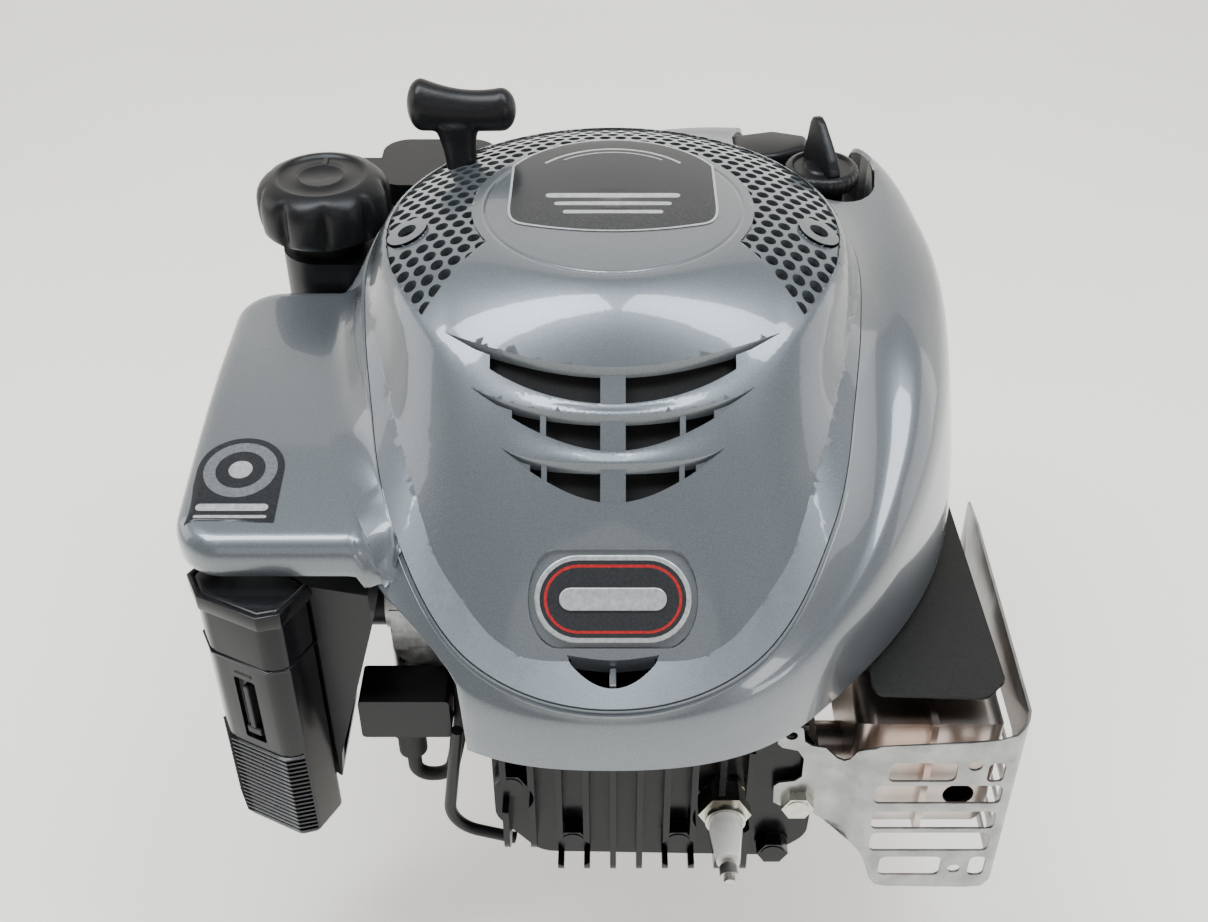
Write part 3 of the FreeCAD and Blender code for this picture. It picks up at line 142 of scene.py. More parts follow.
BY_SLOT = {"silver_paint": SILVER, "black_plastic": BLACK, "black_paint": CASTING, "cast_alloy": ALLOY,
           "steel": STEEL,
           "zinc_steel": ZINC, "bright_guard": BRIGHT, "muffler_steel": MUFFLER, "heat_plate_paint": PLATE,
           "iron": IRON, "white_ceramic": CERAMIC, "black_rubber": RUBBER, "rope": ROPE, "gasket": GASKET,
           "filter_foam": FOAM, "badge_grey": BADGE}

for part in frame["record"]["subparts"]:
    node = NODES[part["node"]]
    node.data.materials.clear()
    node.data.materials.append(BY_SLOT[part["material_slot"]])


def make_object(name, mesh):
    obj = bpy.data.objects.new(name, mesh)
    bpy.context.scene.collection.objects.link(obj)
    return obj


def settle(obj, mat, body=ROOT, stands_for=()):
    """Give a finished object its one finish, its body and the CAD nodes it stands for."""
    obj.data.materials.clear()
    obj.data.materials.append(mat)
    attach(obj, body)
    if stands_for:
        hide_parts(*stands_for)


# ---- the cover's surface ------------------------------------------------
# angle from the front, radius, height: outer edge of the cover, inner crease of its tongue
CREST = ((0, 191.5, 150), (18, 183, 158.5), (36, 154, 186), (54, 127.5, 210), (72, 115, 227), (90, 112, 236),
         (112, 113, 240), (135, 115, 242), (156, 117, 243), (180, 118, 243))
CREASE = ((0, 172.8, 158.2), (6, 174.6, 158.4), (11.3, 176.0, 159.6), (15.9, 172.8, 163.5),
          (19.4, 167.9, 168.1), (22.8, 162.7, 173.4), (27.3, 156.1, 180.5), (32.4, 146.2, 190.4),
          (36.6, 138.6, 197.9), (42.4, 130.7, 205.8), (48.1, 124.3, 211.8), (53.9, 119.0, 217.1),
          (64, 113.5, 225.5), (75, 111.5, 231.5), (90, 110.2, 238.5),
          (112, 111, 243), (135, 113, 244.5), (156, 115, 245.3), (180, 116, 245.2))
# upper and lower edge of each louvre: y = y0 + a x^2 + b x^4, tip, half width of the opening, thin ribs
LOUVRES = (((-94.5, 5.00e-3, -5.6e-8), (-103.4, 5.12e-3, 2.94e-7), 69.7, 50.5, None, 3.4),
           ((-108.3, 3.54e-3, 3.19e-7), (-117.2, 7.02e-3, 7.0e-8), 58.0, 41.0, (27.0, 29.4), 2.6),
           ((-122.0, 1.87e-3, 1.2e-6), (-131.4, 8.67e-3, 1.0e-7), 45.6, 33.4, (26.6, 28.8), 2.4))
RIB = 5.1


def hermite(y1, y2, m1, m2, t):
    """Cubic from y1 to y2 with the slopes m1 and m2 over one step."""
    a = 2 * t ** 3 - 3 * t * t + 1
    return a * y1 + (t ** 3 - 2 * t * t + t) * m1 + (1 - a) * y2 + (t ** 3 - t * t) * m2


def table(tab, x, col):
    """Smooth value from a table that is even about both its ends."""
    n = len(tab)
    i = 0
    while i < n - 2 and x > tab[i + 1][0]:
        i += 1
    x1, x2 = tab[i][0], tab[i + 1][0]
    y1, y2 = tab[i][col], tab[i + 1][col]
    x0, y0 = (tab[i - 1][0], tab[i - 1][col]) if i else (2 * x1 - x2, y2)
    x3, y3 = (tab[i + 2][0], tab[i + 2][col]) if i < n - 2 else (2 * x2 - x1, y1)
    h = x2 - x1
    m1 = h * (y2 - y0) / (x2 - x0)
    m2 = h * (y3 - y1) / (x3 - x1)
    return hermite(y1, y2, m1, m2, (x - x1) / h)


def pchip(xs, ys, x):
    """Monotone cubic through the knots."""
    n = len(xs)
    d = [(ys[i + 1] - ys[i]) / (xs[i + 1] - xs[i]) for i in range(n - 1)]
    m = [d[0]] + [0.0] * (n - 2) + [d[-1]]
    for i in range(1, n - 1):
        if d[i - 1] * d[i] > 0:
            m[i] = 2 * d[i - 1] * d[i] / (d[i - 1] + d[i])
    i = 0
    while i < n - 2 and x > xs[i + 1]:
        i += 1
    h = xs[i + 1] - xs[i]
    return hermite(ys[i], ys[i + 1], h * m[i], h * m[i + 1], (x - xs[i]) / h)


ring_cache = {}


def rings_at(phi):
    """Radius and height of the cover's edge, then of its crease, at an angle from the front."""
    key = round(phi, 2)
    if key not in ring_cache:
        ring_cache[key] = tuple(table(tab, key, col) for tab in (CREST, CREASE) for col in (1, 2))
    return ring_cache[key]


def edge_y(curve, x):
    """Depth of a louvre's edge at x."""
    return curve[0] + curve[1] * x * x + curve[2] * x ** 4


def plain_dome(x, y):
    """Height of the cover without its louvres, hole band and groove."""
    r = math.hypot(x, y)
    phi = math.degrees(math.atan2(abs(x), -y))
    rc, hc, ri, hi = rings_at(phi)
    if r >= ri:
        return hi + (r - ri) * (hc - hi) / (rc - ri)
    front = max(0.0, math.cos(math.radians(phi)))
    return pchip((0.0, 30.0, 60.0, 102.0, ri), (268.6, 268.3, 267.0, 255.0 - 20.0 * front ** 2.2, hi), r)


BAND_IN, BAND_OUT = 62.5, 101.0


def band_front(x):
    """Front end of the air-hole band, a slanting line on either side."""
    return -28.9 - (abs(x) - 52.2) * 1.165


def in_band(x, y):
    """Inside the air-hole band, which is open towards the front."""
    return BAND_IN < math.hypot(x, y) < BAND_OUT and y > band_front(x)


PADS = ((90.8, -10.9), (-90.8, -10.9))


def cover_height(x, y):
    z = plain_dome(x, y)
    if y < -20:
        for k, (up, low, tip, _, _, rise) in enumerate(LOUVRES):
            if abs(x) >= tip:
                continue
            fade = (1 - (x / tip) ** 2) ** 1.2
            top = edge_y(up, x)
            if y >= top - 0.001:
                reach = 30.0 if k == 0 else top - edge_y(LOUVRES[k - 1][1], x)
                far = (y - top)
                if far < abs(reach):
                    s = 1 - far / abs(reach)
                    z += rise * fade * s * s * (3 - 2 * s)
                break
    if in_band(x, y):
        z -= 0.9
        for px, py in PADS:
            d = math.hypot(x - px, y - py)
            if d < 9.0:
                z += 1.6
    r = math.hypot(x, y)
    if 55.0 < r < 60.0:
        z -= 0.45 * math.exp(-((r - 57.4) / 0.7) ** 2)
    return z


def outline_points(gap, count=360):
    points = []
    for k in range(count):
        a = 2 * math.pi * k / count
        phi = abs(math.degrees(a) if a <= math.pi else 360 - math.degrees(a))
        r = rings_at(phi)[0] - gap
        points.append((r * math.sin(a), -r * math.cos(a)))
    return points


def crease_points():
    """Inner crease of the cover's tongue, from one side round the front to the other."""
    points = []
    for phi in range(-66, 67):
        r = rings_at(abs(phi))[2]
        points.append((r * math.sin(math.radians(phi)), -r * math.cos(math.radians(phi))))
    return points


def band_outline():
    """Closed border of the air-hole band, one C from the right end round the back to the left end."""
    def front_limit(r):
        low, high = 30.0, 90.0
        for _ in range(40):
            mid = (low + high) / 2
            x, y = r * math.sin(math.radians(mid)), -r * math.cos(math.radians(mid))
            if y > band_front(x):
                high = mid
            else:
                low = mid
        return high
    a_in, a_out = front_limit(BAND_IN), front_limit(BAND_OUT)
    border = []
    for k in range(121):
        a = math.radians(a_out + (360 - 2 * a_out) * k / 120)
        border.append((BAND_OUT * math.sin(a), -BAND_OUT * math.cos(a)))
    for k in range(91):
        a = math.radians(360 - a_in - (360 - 2 * a_in) * k / 90)
        border.append((BAND_IN * math.sin(a), -BAND_IN * math.cos(a)))
    return border


def circle(x, y, r, n=16, start=0.0):
    turns = [start + 2 * math.pi * k / n for k in range(n)]
    return [(x + r * math.cos(a), y + r * math.sin(a)) for a in turns]


def hole_centres():
    found = []
    pitch, row = 7.5, 6.5
    for j in range(-18, 19):
        for i in range(-18, 19):
            x = (i + 0.5 * (j % 2)) * pitch
            y = j * row
            r = math.hypot(x, y)
            if not BAND_IN - 1.2 < r < BAND_OUT + 0.6:
                continue
            if not y > band_front(x) - 1.5:
                continue
            if min(math.hypot(x - px, y - py) for px, py in PADS) < 10.2:
                continue
            found.append((x, y))
    return found


HOLE_R = 2.85
HOLES = hole_centres()
# badge seat in plan
BADGE_C = Vector((0, -156.6))
BADGE_W, BADGE_H = 34.0, 13.6


def badge_outline(grow=0.0, n=8):
    """Plan outline of the badge seat, a wide rounded bar."""
    w, h = BADGE_W + grow, BADGE_H + grow * 0.75
    rx = h * 0.9
    points = []
    for cx, cy, first in ((w - rx, 0, -90), (-(w - rx), 0, 90)):
        for k in range(2 * n + 1):
            a = math.radians(first + 180 * k / (2 * n))
            points.append((cx + rx * math.cos(a), BADGE_C.y + h * math.sin(a)))
    return points


def latch_outline():
    points = []
    for k in range(25):
        x = -18.3 + 36.6 * k / 24
        points.append((x, -172.8 + 0.9 * (x / 18.3) ** 2))
    for k in range(1, 24):
        x = 18.3 - 36.6 * k / 24
        points.append((x, -183.6 + 10.5 * (x / 18.3) ** 2))
    return points


def louvre_outline(up, low, tip):
    points = []
    n = 44
    for k in range(n + 1):
        x = -tip + 2 * tip * k / n
        points.append((x, max(edge_y(up, x), edge_y(low, x))))
    for k in range(1, n):
        x = tip - 2 * tip * k / n
        points.append((x, min(edge_y(low, x), edge_y(up, x) - 0.05)))
    return points


def inside_polygon(x, y, poly):
    hit = False
    n = len(poly)
    j = n - 1
    for i in range(n):
        xi, yi = poly[i]
        xj, yj = poly[j]
        if (yi > y) != (yj > y) and x < (xj - xi) * (y - yi) / (yj - yi) + xi:
            hit = not hit
        j = i
    return hit


def point_normal(x, y, z_of):
    e = 0.12
    gx = (z_of(x + e, y) - z_of(x - e, y)) / (2 * e)
    gy = (z_of(x, y + e) - z_of(x, y - e)) / (2 * e)
    return Vector((-gx, -gy, 1)).normalized()


def counter_clockwise(tri, verts):
    a, b, c = (verts[i] for i in tri)
    return [tri[0], tri[2], tri[1]] if (b - a).cross(c - a) < 0 else list(tri)


def hole_finder():
    """A test for plan points that lie over one of the air holes."""
    cells = {}
    for x, y in HOLES:
        cells.setdefault((int(x // 8), int(y // 8)), []).append((x, y))

    def over_hole(x, y):
        cx, cy = int(x // 8), int(y // 8)
        around = [(ix, iy) for ix in (cx - 1, cx, cx + 1) for iy in (cy - 1, cy, cy + 1)]
        near = [hole for cell in around for hole in cells.get(cell, ())]
        return any((x - hx) ** 2 + (y - hy) ** 2 < (HOLE_R * 0.985) ** 2 for hx, hy in near)
    return over_hole


def louvre_cell(x, y, shapes):
    """Whether a plan point is in a louvre's opening, on its closed floor, or in neither."""
    cell = None
    for (_, _, tip, half, thin, _), loop in zip(LOUVRES, shapes):
        if abs(x) < tip and inside_polygon(x, y, loop):
            on_rib = thin and thin[0] < abs(x) < thin[1]
            cell = "open" if RIB < abs(x) < half and not on_rib else "floor"
    return cell


def cover_plan(outline, latch):
    """The cover seen from above, split along every edge: its points, top faces and louvre floors."""
    points, edges = [], []

    def add_loop(loop, closed=True):
        first = len(points)
        points.extend(loop)
        n = len(loop)
        for k in range(n if closed else n - 1):
            edges.append((first + k, first + (k + 1) % n))
    add_loop(outline)
    add_loop(crease_points(), False)
    add_loop(band_outline())
    for px, py in PADS:
        add_loop(circle(px, py, 9.0, 28))
        add_loop(circle(px, py, 4.2, 18))
    for x, y in HOLES:
        add_loop(circle(x, y, HOLE_R, 14, 0.2))
    shapes = []
    for up, low, tip, half, thin, _ in LOUVRES:
        loop = louvre_outline(up, low, tip)
        shapes.append(loop)
        add_loop(loop)
        crossings = [-half, half, -RIB, RIB]
        if thin:
            crossings += [thin[0], thin[1], -thin[0], -thin[1]]
        for x in crossings:
            add_loop([(x, edge_y(low, x)), (x, edge_y(up, x))], False)
    badge = badge_outline()
    add_loop(badge)
    add_loop(latch)
    for r in (55.6, 56.6, 57.4, 58.2, 59.2):
        add_loop(circle(0, 0, r, 120))
    step = 3.2
    for j in range(-62, 42):
        for i in range(-50, 51):
            x, y = (i + 0.5 * (j % 2)) * step, j * step * 0.9
            if math.hypot(x, y) <= 196 and inside_polygon(x, y, outline):
                points.append((x, y))
    verts, _, faces, _, _, _ = delaunay_2d_cdt([Vector(p) for p in points], edges, [], 0, 1e-4)
    over_hole = hole_finder()
    top, floor = [], []
    for tri in faces:
        a, b, c = (verts[i] for i in tri)
        x, y = (a.x + b.x + c.x) / 3, (a.y + b.y + c.y) / 3
        if not inside_polygon(x, y, outline) or in_band(x, y) and over_hole(x, y):
            continue
        if min(math.hypot(x - px, y - py) for px, py in PADS) < 4.1:
            continue
        cell = louvre_cell(x, y, shapes)
        if cell == "floor":
            floor.append(tri)
        elif cell is None and not inside_polygon(x, y, badge) and not inside_polygon(x, y, latch):
            top.append(tri)
    return verts, top, floor


def wall_depth(x, y, outline, latch):
    """How far the cover's wall goes down from an open edge at a plan point."""
    if math.hypot(x, y) > 110 and not inside_polygon(x * 1.01, y * 1.01, outline):
        return 4.0
    if any(in_band(x * near, y * near) for near in (0.98, 1.0, 1.02)):
        return 3.4
    if inside_polygon(x, y * 1.01, latch) or inside_polygon(x, y * 0.99, latch):
        return 7.0
    return 2.0 if y < -135 and abs(x) < 40 else 5.5


def build_cover():
    outline, latch = outline_points(0.2), latch_outline()
    verts, top, floor = cover_plan(outline, latch)
    coords, normals, polys = [], [], []
    index = {}

    def vertex(tag, i, z):
        key = (tag, i)
        if key not in index:
            index[key] = len(coords)
            coords.append((verts[i].x * MM, verts[i].y * MM, z * MM))
        return index[key]

    def corner(i, centre):
        """Height and normal at a point, taken a little towards its triangle's middle."""
        p = verts[i]
        d = centre - p
        q = p + d * min(0.5, 0.5 / max(d.length, 1e-6))
        height = cover_height(p.x + (q.x - p.x) * 0.02, p.y + (q.y - p.y) * 0.02)
        return height, point_normal(q.x, q.y, cover_height)

    users = {}
    for tri in top:
        a, b, c = (verts[i] for i in tri)
        centre = (a + b + c) / 3
        tri = counter_clockwise(tri, verts)
        ids = []
        for i in tri:
            z, normal = corner(i, centre)
            ids.append(vertex(("top", round(z, 2)), i, z))
            normals.append(normal)
        polys.append(ids)
        for k in range(3):
            edge = (tri[k], tri[(k + 1) % 3])
            users.setdefault(tuple(sorted(edge)), []).append((edge, ids[k], ids[(k + 1) % 3]))
    # walls down from every open edge
    for sides in users.values():
        if len(sides) != 1:
            continue
        (i, j), vi, vj = sides[0]
        x, y = (verts[i].x + verts[j].x) / 2, (verts[i].y + verts[j].y) / 2
        depth = wall_depth(x, y, outline, latch) * MM
        first = len(coords)
        coords.append((verts[i].x * MM, verts[i].y * MM, coords[vi][2] - depth))
        coords.append((verts[j].x * MM, verts[j].y * MM, coords[vj][2] - depth))
        coords.extend((coords[vi], coords[vj]))
        polys.append([first + 2, first, first + 1, first + 3])
        flat = Vector((verts[j].y - verts[i].y, -(verts[j].x - verts[i].x), 0)).normalized()
        normals.extend([flat] * 4)
    # floors of the closed louvre ends, and the ribs
    for tri in floor:
        a, b, c = (verts[i] for i in tri)
        centre = (a + b + c) / 3
        tri = counter_clockwise(tri, verts)
        tip = min(LOUVRES, key=lambda louvre: abs(
            edge_y(louvre[0], centre.x) + edge_y(louvre[1], centre.x) - 2 * centre.y))[2]
        middle_rib = abs(centre.x) < RIB
        rib = abs(centre.x) < RIB + 0.01 or 26 < abs(centre.x) < 30 and abs(centre.y) > 104
        ids = []
        for i in tri:
            p = verts[i]
            drop = 1.2 if rib else 2.6 * min(1.0, max(0.0, 1 - (p.x / tip) ** 2) * 3)
            if middle_rib:
                drop = 0.5
            ids.append(vertex(("floor", rib), i, plain_dome(p.x, p.y) - drop))
            normals.append(point_normal(p.x, p.y, plain_dome))
        polys.append(ids)
    mesh = bpy.data.meshes.new("cover_shell")
    mesh.from_pydata(coords, [], polys)
    mesh.shade_smooth()
    mesh.normals_split_custom_set([tuple(n) for n in normals])
    mesh.update()
    settle(make_object("cover_shell", mesh), SILVER, stands_for=("top_cover",))


build_cover()

# ---- blower housing -----------------------------------------------------
# (radius, height) of the housing's curves at these angles, right side first, 90 at the rear
STATIONS = (-90, -72, -54, -36, -18, 0, 22, 45, 66, 90, 114, 135, 158, 180, 198, 216, 234, 252)
SHOULDER = ((193.0, 144), (187.5, 150), (168, 166), (148, 190), (134.5, 214), (129.5, 226),
            (145, 233), (172, 237), (150, 238), (128, 238), (121, 238), (119.5, 234),
            (120, 222), (124, 206), (128, 202), (143, 192), (168, 170), (187.5, 150))
BULGE = ((194.5, 132), (192, 134), (177, 148), (165, 168), (158, 188), (157, 203),
         (166, 217), (182, 223), (162, 223), (136, 222), (121.5, 222), (120.5, 215),
         (121, 205), (127, 180), (131, 178), (146, 172), (171, 155), (192, 134))
LIP = ((194.5, 117), (193, 117), (178, 117), (170, 117), (167, 117), (166, 117),
       (172, 117), (187, 117), (168, 117), (142, 117), (122, 117), (121.5, 117),
       (121.5, 117), (128, 117), (132, 117), (148, 117), (173, 117), (193, 117))


def round_table(pairs, angle, col):
    """Smooth periodic value at an angle counted from +X."""
    n = len(STATIONS)
    a = (angle + 90) % 360 - 90
    i = max(k for k in range(n) if STATIONS[k] <= a + 1e-9)

    def at(k):
        turns, j = divmod(k, n)
        return STATIONS[j] + 360 * turns, pairs[j][col]
    (x0, y0), (x1, y1), (x2, y2), (x3, y3) = at(i - 1), at(i), at(i + 1), at(i + 2)
    h = x2 - x1
    m1 = h * (y2 - y0) / (x2 - x0)
    m2 = h * (y3 - y1) / (x3 - x1)
    return hermite(y1, y2, m1, m2, (a - x1) / h)


def bezier(p0, p1, p2, p3, t):
    s = 1 - t
    weights = (s ** 3, 3 * s * s * t, 3 * s * t * t, t ** 3)
    return tuple(sum(w * v for w, v in zip(weights, values)) for values in zip(p0, p1, p2, p3))


def housing_profile(angle):
    """(radius, height) points from the seam at the cover down to the skirt's lip."""
    phi = abs((angle + 90 + 180) % 360 - 180)
    rc, hc = rings_at(phi)[:2]
    sh = tuple(round_table(SHOULDER, angle, c) for c in (0, 1))
    bu = tuple(round_table(BULGE, angle, c) for c in (0, 1))
    lip = tuple(round_table(LIP, angle, c) for c in (0, 1))
    points = [(rc - 1.5, hc - 5.0), (rc - 0.2, hc - 1.2), (rc + 0.3, hc - 0.5)]
    sag = min(1.6, 0.10 * (sh[0] - rc))
    for k in range(1, 6):
        t = k / 5
        r = rc + (sh[0] - rc) * t
        points.append((max(r, rc + 0.5), hc + (sh[1] - hc) * t - 4 * sag * t * (1 - t) - 0.3 * (1 - t)))
    # from the shoulder over the bulge and down
    out = (sh[0] + (bu[0] - sh[0]) * 0.55, sh[1] - (sh[1] - bu[1]) * 0.12)
    near = (bu[0] - (bu[0] - sh[0]) * 0.12, bu[1] + (sh[1] - bu[1]) * 0.42)
    for k in range(1, 9):
        points.append(bezier(sh, out, near, bu, k / 8))
    down = (bu[0] + (bu[0] - near[0]) * 0.6 + 0.01, bu[1] - (near[1] - bu[1]) * 0.6 - 1.0)
    low = (lip[0], lip[1] + (bu[1] - lip[1]) * 0.45)
    for k in range(1, 9):
        points.append(bezier(bu, down, low, lip, k / 8))
    return points


def mesh_from(name, coords, faces):
    mesh = bpy.data.meshes.new(name)
    mesh.from_pydata([tuple(c * MM for c in p) for p in coords], [], faces)
    mesh.update()
    return mesh


def prism_faces(n):
    """Two ends and the sides between two loops of n points."""
    ends = [tuple(reversed(range(n))), tuple(range(n, 2 * n))]
    return ends + [(k, (k + 1) % n, n + (k + 1) % n, n + k) for k in range(n)]


def prism_mesh(name, plan, z0, z1):
    coords = [(x, y, z0) for x, y in plan] + [(x, y, z1) for x, y in plan]
    return mesh_from(name, coords, prism_faces(len(plan)))


def turned(mesh, x, y, z, degrees):
    """A mesh turned about the upright axis, then moved to its place."""
    place = Matrix.Translation(Vector((x, y, z)) * MM)
    mesh.transform(place @ Matrix.Rotation(math.radians(degrees), 4, "Z"))
    return mesh


def bevel_edges(bm, offset, segments, **options):
    bmesh.ops.bevel(bm, geom=bm.edges[:], offset=offset * MM, segments=segments, profile=0.5,
                    affect="EDGES", **options)


def round_edges(mesh, offset, segments, **options):
    """Turn a closed mesh's faces outwards and round its edges."""
    bm = bmesh.new()
    bm.from_mesh(mesh)
    bmesh.ops.recalc_face_normals(bm, faces=bm.faces[:])
    bevel_edges(bm, offset, segments, **options)
    bm.to_mesh(mesh)
    bm.free()


def apply_all(obj):
    """Apply the object's modifiers to its mesh."""
    graph = bpy.context.evaluated_depsgraph_get()
    mesh = bpy.data.meshes.new_from_object(obj.evaluated_get(graph))
    obj.modifiers.clear()
    obj.data = mesh


def face_out(mesh):
    bm = bmesh.new()
    bm.from_mesh(mesh)
    bmesh.ops.recalc_face_normals(bm, faces=bm.faces[:])
    bm.to_mesh(mesh)
    bm.free()


def cut_out(obj, cutter):
    """Take the cutter's shape out of an object and remove the cutter."""
    face_out(obj.data)
    face_out(cutter.data)
    mod = obj.modifiers.new("cut", "BOOLEAN")
    mod.object = cutter
    mod.operation = "DIFFERENCE"
    mod.solver = "EXACT"
    apply_all(obj)
    bpy.data.objects.remove(cutter)


def smooth_by_angle(obj, degrees=32.0):
    mesh = obj.data
    mesh.shade_smooth()
    bm = bmesh.new()
    bm.from_mesh(mesh)
    for e in bm.edges:
        e.smooth = len(e.link_faces) == 2 and e.calc_face_angle(0.0) < math.radians(degrees)
    bm.to_mesh(mesh)
    bm.free()


def rounded_box(name, low, high, radius, segments=4):
    """Box with every edge rounded, in mm."""
    bm = bmesh.new()
    bmesh.ops.create_cube(bm, size=1.0)
    for v in bm.verts:
        v.co = Vector(tuple((low[i] + high[i]) / 2 + v.co[i] * (high[i] - low[i]) for i in range(3))) * MM
    if radius:
        bevel_edges(bm, radius, segments)
    mesh = bpy.data.meshes.new(name)
    bm.to_mesh(mesh)
    bm.free()
    return mesh


def box_object(name, low, high, radius, segments):
    return make_object(name, rounded_box(name, low, high, radius, segments))


def skirt_limit(x, y):
    """Lowest height of the housing over a plan point: it is cut away beside the air cleaner."""
    if y > 30 or x > -60:
        return 117.0
    line = ((-60, 117), (-60.6, 147), (-66, 153), (-75, 159), (-85, 163.5), (-95, 167), (-104, 172),
            (-215, 178))
    for (x0, z0), (x1, z1) in zip(line, line[1:]):
        if x >= x1:
            return z0 + (z1 - z0) * (x - x0) / (x1 - x0)
    return 177.0


def trimmed(profile, c, s):
    """The profile down to the skirt's limit, again with the same number of points."""
    n = len(profile)
    kept = [profile[0]]
    for (r0, h0), (r1, h1) in zip(profile, profile[1:]):
        if h1 < skirt_limit(r1 * c, r1 * s) and h1 < 200:
            low, high = 0.0, 1.0
            for _ in range(30):
                mid = (low + high) / 2
                r, h = r0 + (r1 - r0) * mid, h0 + (h1 - h0) * mid
                if h < skirt_limit(r * c, r * s):
                    high = mid
                else:
                    low = mid
            kept.append((r0 + (r1 - r0) * low, h0 + (h1 - h0) * low))
            break
        kept.append((r1, h1))
    head = 9
    if len(kept) == n or len(kept) <= head + 1:
        while len(kept) < n:
            kept.append((kept[-1][0], kept[-1][1] - 0.05))
        return kept
    tail = kept[head:]
    m = n - head
    out = kept[:head]
    for k in range(m):
        u = k * (len(tail) - 1) / (m - 1)
        i = min(int(u), len(tail) - 2)
        f = u - i
        (r0, h0), (r1, h1) = tail[i], tail[i + 1]
        out.append((r0 + (r1 - r0) * f, h0 + (h1 - h0) * f))
    return out


RECESS_FLOOR = 205.0


def recess_plan(r, inset=0.0):
    """Plan outline of the recess round the dipstick cap: round in front, open towards the rear."""
    turns = [math.radians(a) for a in range(180, 361, 12)]
    points = [(104 + r * math.cos(a), 84 + r * math.sin(a)) for a in turns]
    right = ((132.2, 92), (133.0, 100), (132.4, 108), (130.2, 117), (126.5, 126))
    points += [(x - inset, y) for x, y in right]
    if inset:
        points += [(117.5, 129.0), (104.0, 140.0), (86.0, 147.0), (74.0, 143.0)]
    else:
        points += [(122.0, 150.0), (104.0, 172.0), (70.0, 146)]
    return points + [(62.0 + inset, 130), (62.0 + inset, 102)]


def carve(mesh, plan, low):
    """Open a mesh inside a plan outline and above a height, along clean edges."""
    bm = bmesh.new()
    bm.from_mesh(mesh)

    def middle(face):
        return face.calc_center_median() / MM

    def cut(faces, place, normal):
        geom = list({v for f in faces for v in f.verts}) + list({e for f in faces for e in f.edges}) + faces
        bmesh.ops.bisect_plane(bm, geom=geom, dist=1e-6, plane_co=place, plane_no=normal)
    n = len(plan)
    for k in range(n):
        a, b = Vector(plan[k]), Vector(plan[(k + 1) % n])
        mid, reach = (a + b) / 2, (b - a).length / 2 + 7
        near = [f for f in bm.faces if middle(f).z > low - 8 and (middle(f).xy - mid).length < reach]
        cut(near, Vector((mid.x, mid.y, 0)) * MM, Vector((b.y - a.y, a.x - b.x, 0)).normalized())
    near = [f for f in bm.faces if abs(middle(f).z - low) < 14 and min(middle(f).xy) > 40]
    cut(near, Vector((0, 0, low)) * MM, Vector((0, 0, 1)))
    gone = [f for f in bm.faces if middle(f).z > low and inside_polygon(*middle(f).xy, plan)]
    bmesh.ops.delete(bm, geom=gone, context="FACES")
    bm.to_mesh(mesh)
    bm.free()


def build_housing():
    count = 240
    coords, faces = [], []
    n = 0
    for i in range(count):
        a = math.radians(i * 360 / count)
        c, s = math.cos(a), math.sin(a)
        profile = trimmed(housing_profile(i * 360 / count), c, s)
        n = len(profile)
        coords.extend([r * c, r * s, h] for r, h in profile)
    for i in range(count):
        j = (i + 1) % count
        for k in range(n - 1):
            faces.append((i * n + k, i * n + k + 1, j * n + k + 1, j * n + k))
    mesh = mesh_from("housing_shell", coords, faces)
    carve(mesh, recess_plan(27.0), RECESS_FLOOR)
    obj = make_object("housing_shell", mesh)
    face_out(obj.data)
    thick = obj.modifiers.new("thick", "SOLIDIFY")
    thick.thickness = 2.2 * MM
    thick.offset = -1
    apply_all(obj)
    return obj


housing = build_housing()
smooth_by_angle(housing, 34)
housing.data.materials.clear()
housing.data.materials.append(SILVER)
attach(housing, ROOT)
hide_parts("blower_housing")

# ---- wing over the air cleaner ------------------------------------------
WING_X0, WING_X1, WING_Y0, WING_Y1, WING_R = -181.0, -84.0, -140.5, 36.0, 22.0
WING_ROUND = 8.5
# (angle, radius) of the hollow line between the wing and the housing's ramp
HOLLOW = ((146, 142), (165.6, 135.0), (180.7, 128.2), (198.9, 130.6), (212.4, 139.6), (224.6, 151.9),
          (232.4, 160.6), (237.0, 166.0), (244.0, 172.0))


def wing_level(y):
    """Height of the wing's flat, which falls a little towards the front."""
    t = max(0.0, min(1.0, (-10.0 - y) / 130.0))
    return 202.5 - 13.5 * t * t * (1.6 - 0.6 * t)


def wing_inset(x, y):
    """Distance from a plan point to the wing's outline, which is open on the right."""
    side, end = x - WING_X0, min(y - WING_Y0, WING_Y1 - y)
    if side < WING_R and end < WING_R:
        return WING_R - math.hypot(WING_R - side, WING_R - end)
    return min(side, end)


def wing_height(x, y):
    d = wing_inset(x, y)
    top = wing_level(y)
    if d <= 0:
        return top - WING_ROUND
    if d < WING_ROUND:
        return top - WING_ROUND + math.sqrt(WING_ROUND ** 2 - (WING_ROUND - d) ** 2)
    return top


def wing_plan(inset):
    x0, y0, y1 = WING_X0 + inset, WING_Y0 + inset, WING_Y1 - inset
    r = WING_R - inset
    points = [(WING_X1, y0)]
    for k in range(17):
        a = math.radians(270 - 90 * k / 16)
        points.append((x0 + r + r * math.cos(a), y0 + r + r * math.sin(a)))
    for k in range(17):
        a = math.radians(180 - 90 * k / 16)
        points.append((x0 + r + r * math.cos(a), y1 - r + r * math.sin(a)))
    points.append((WING_X1, y1))
    return points


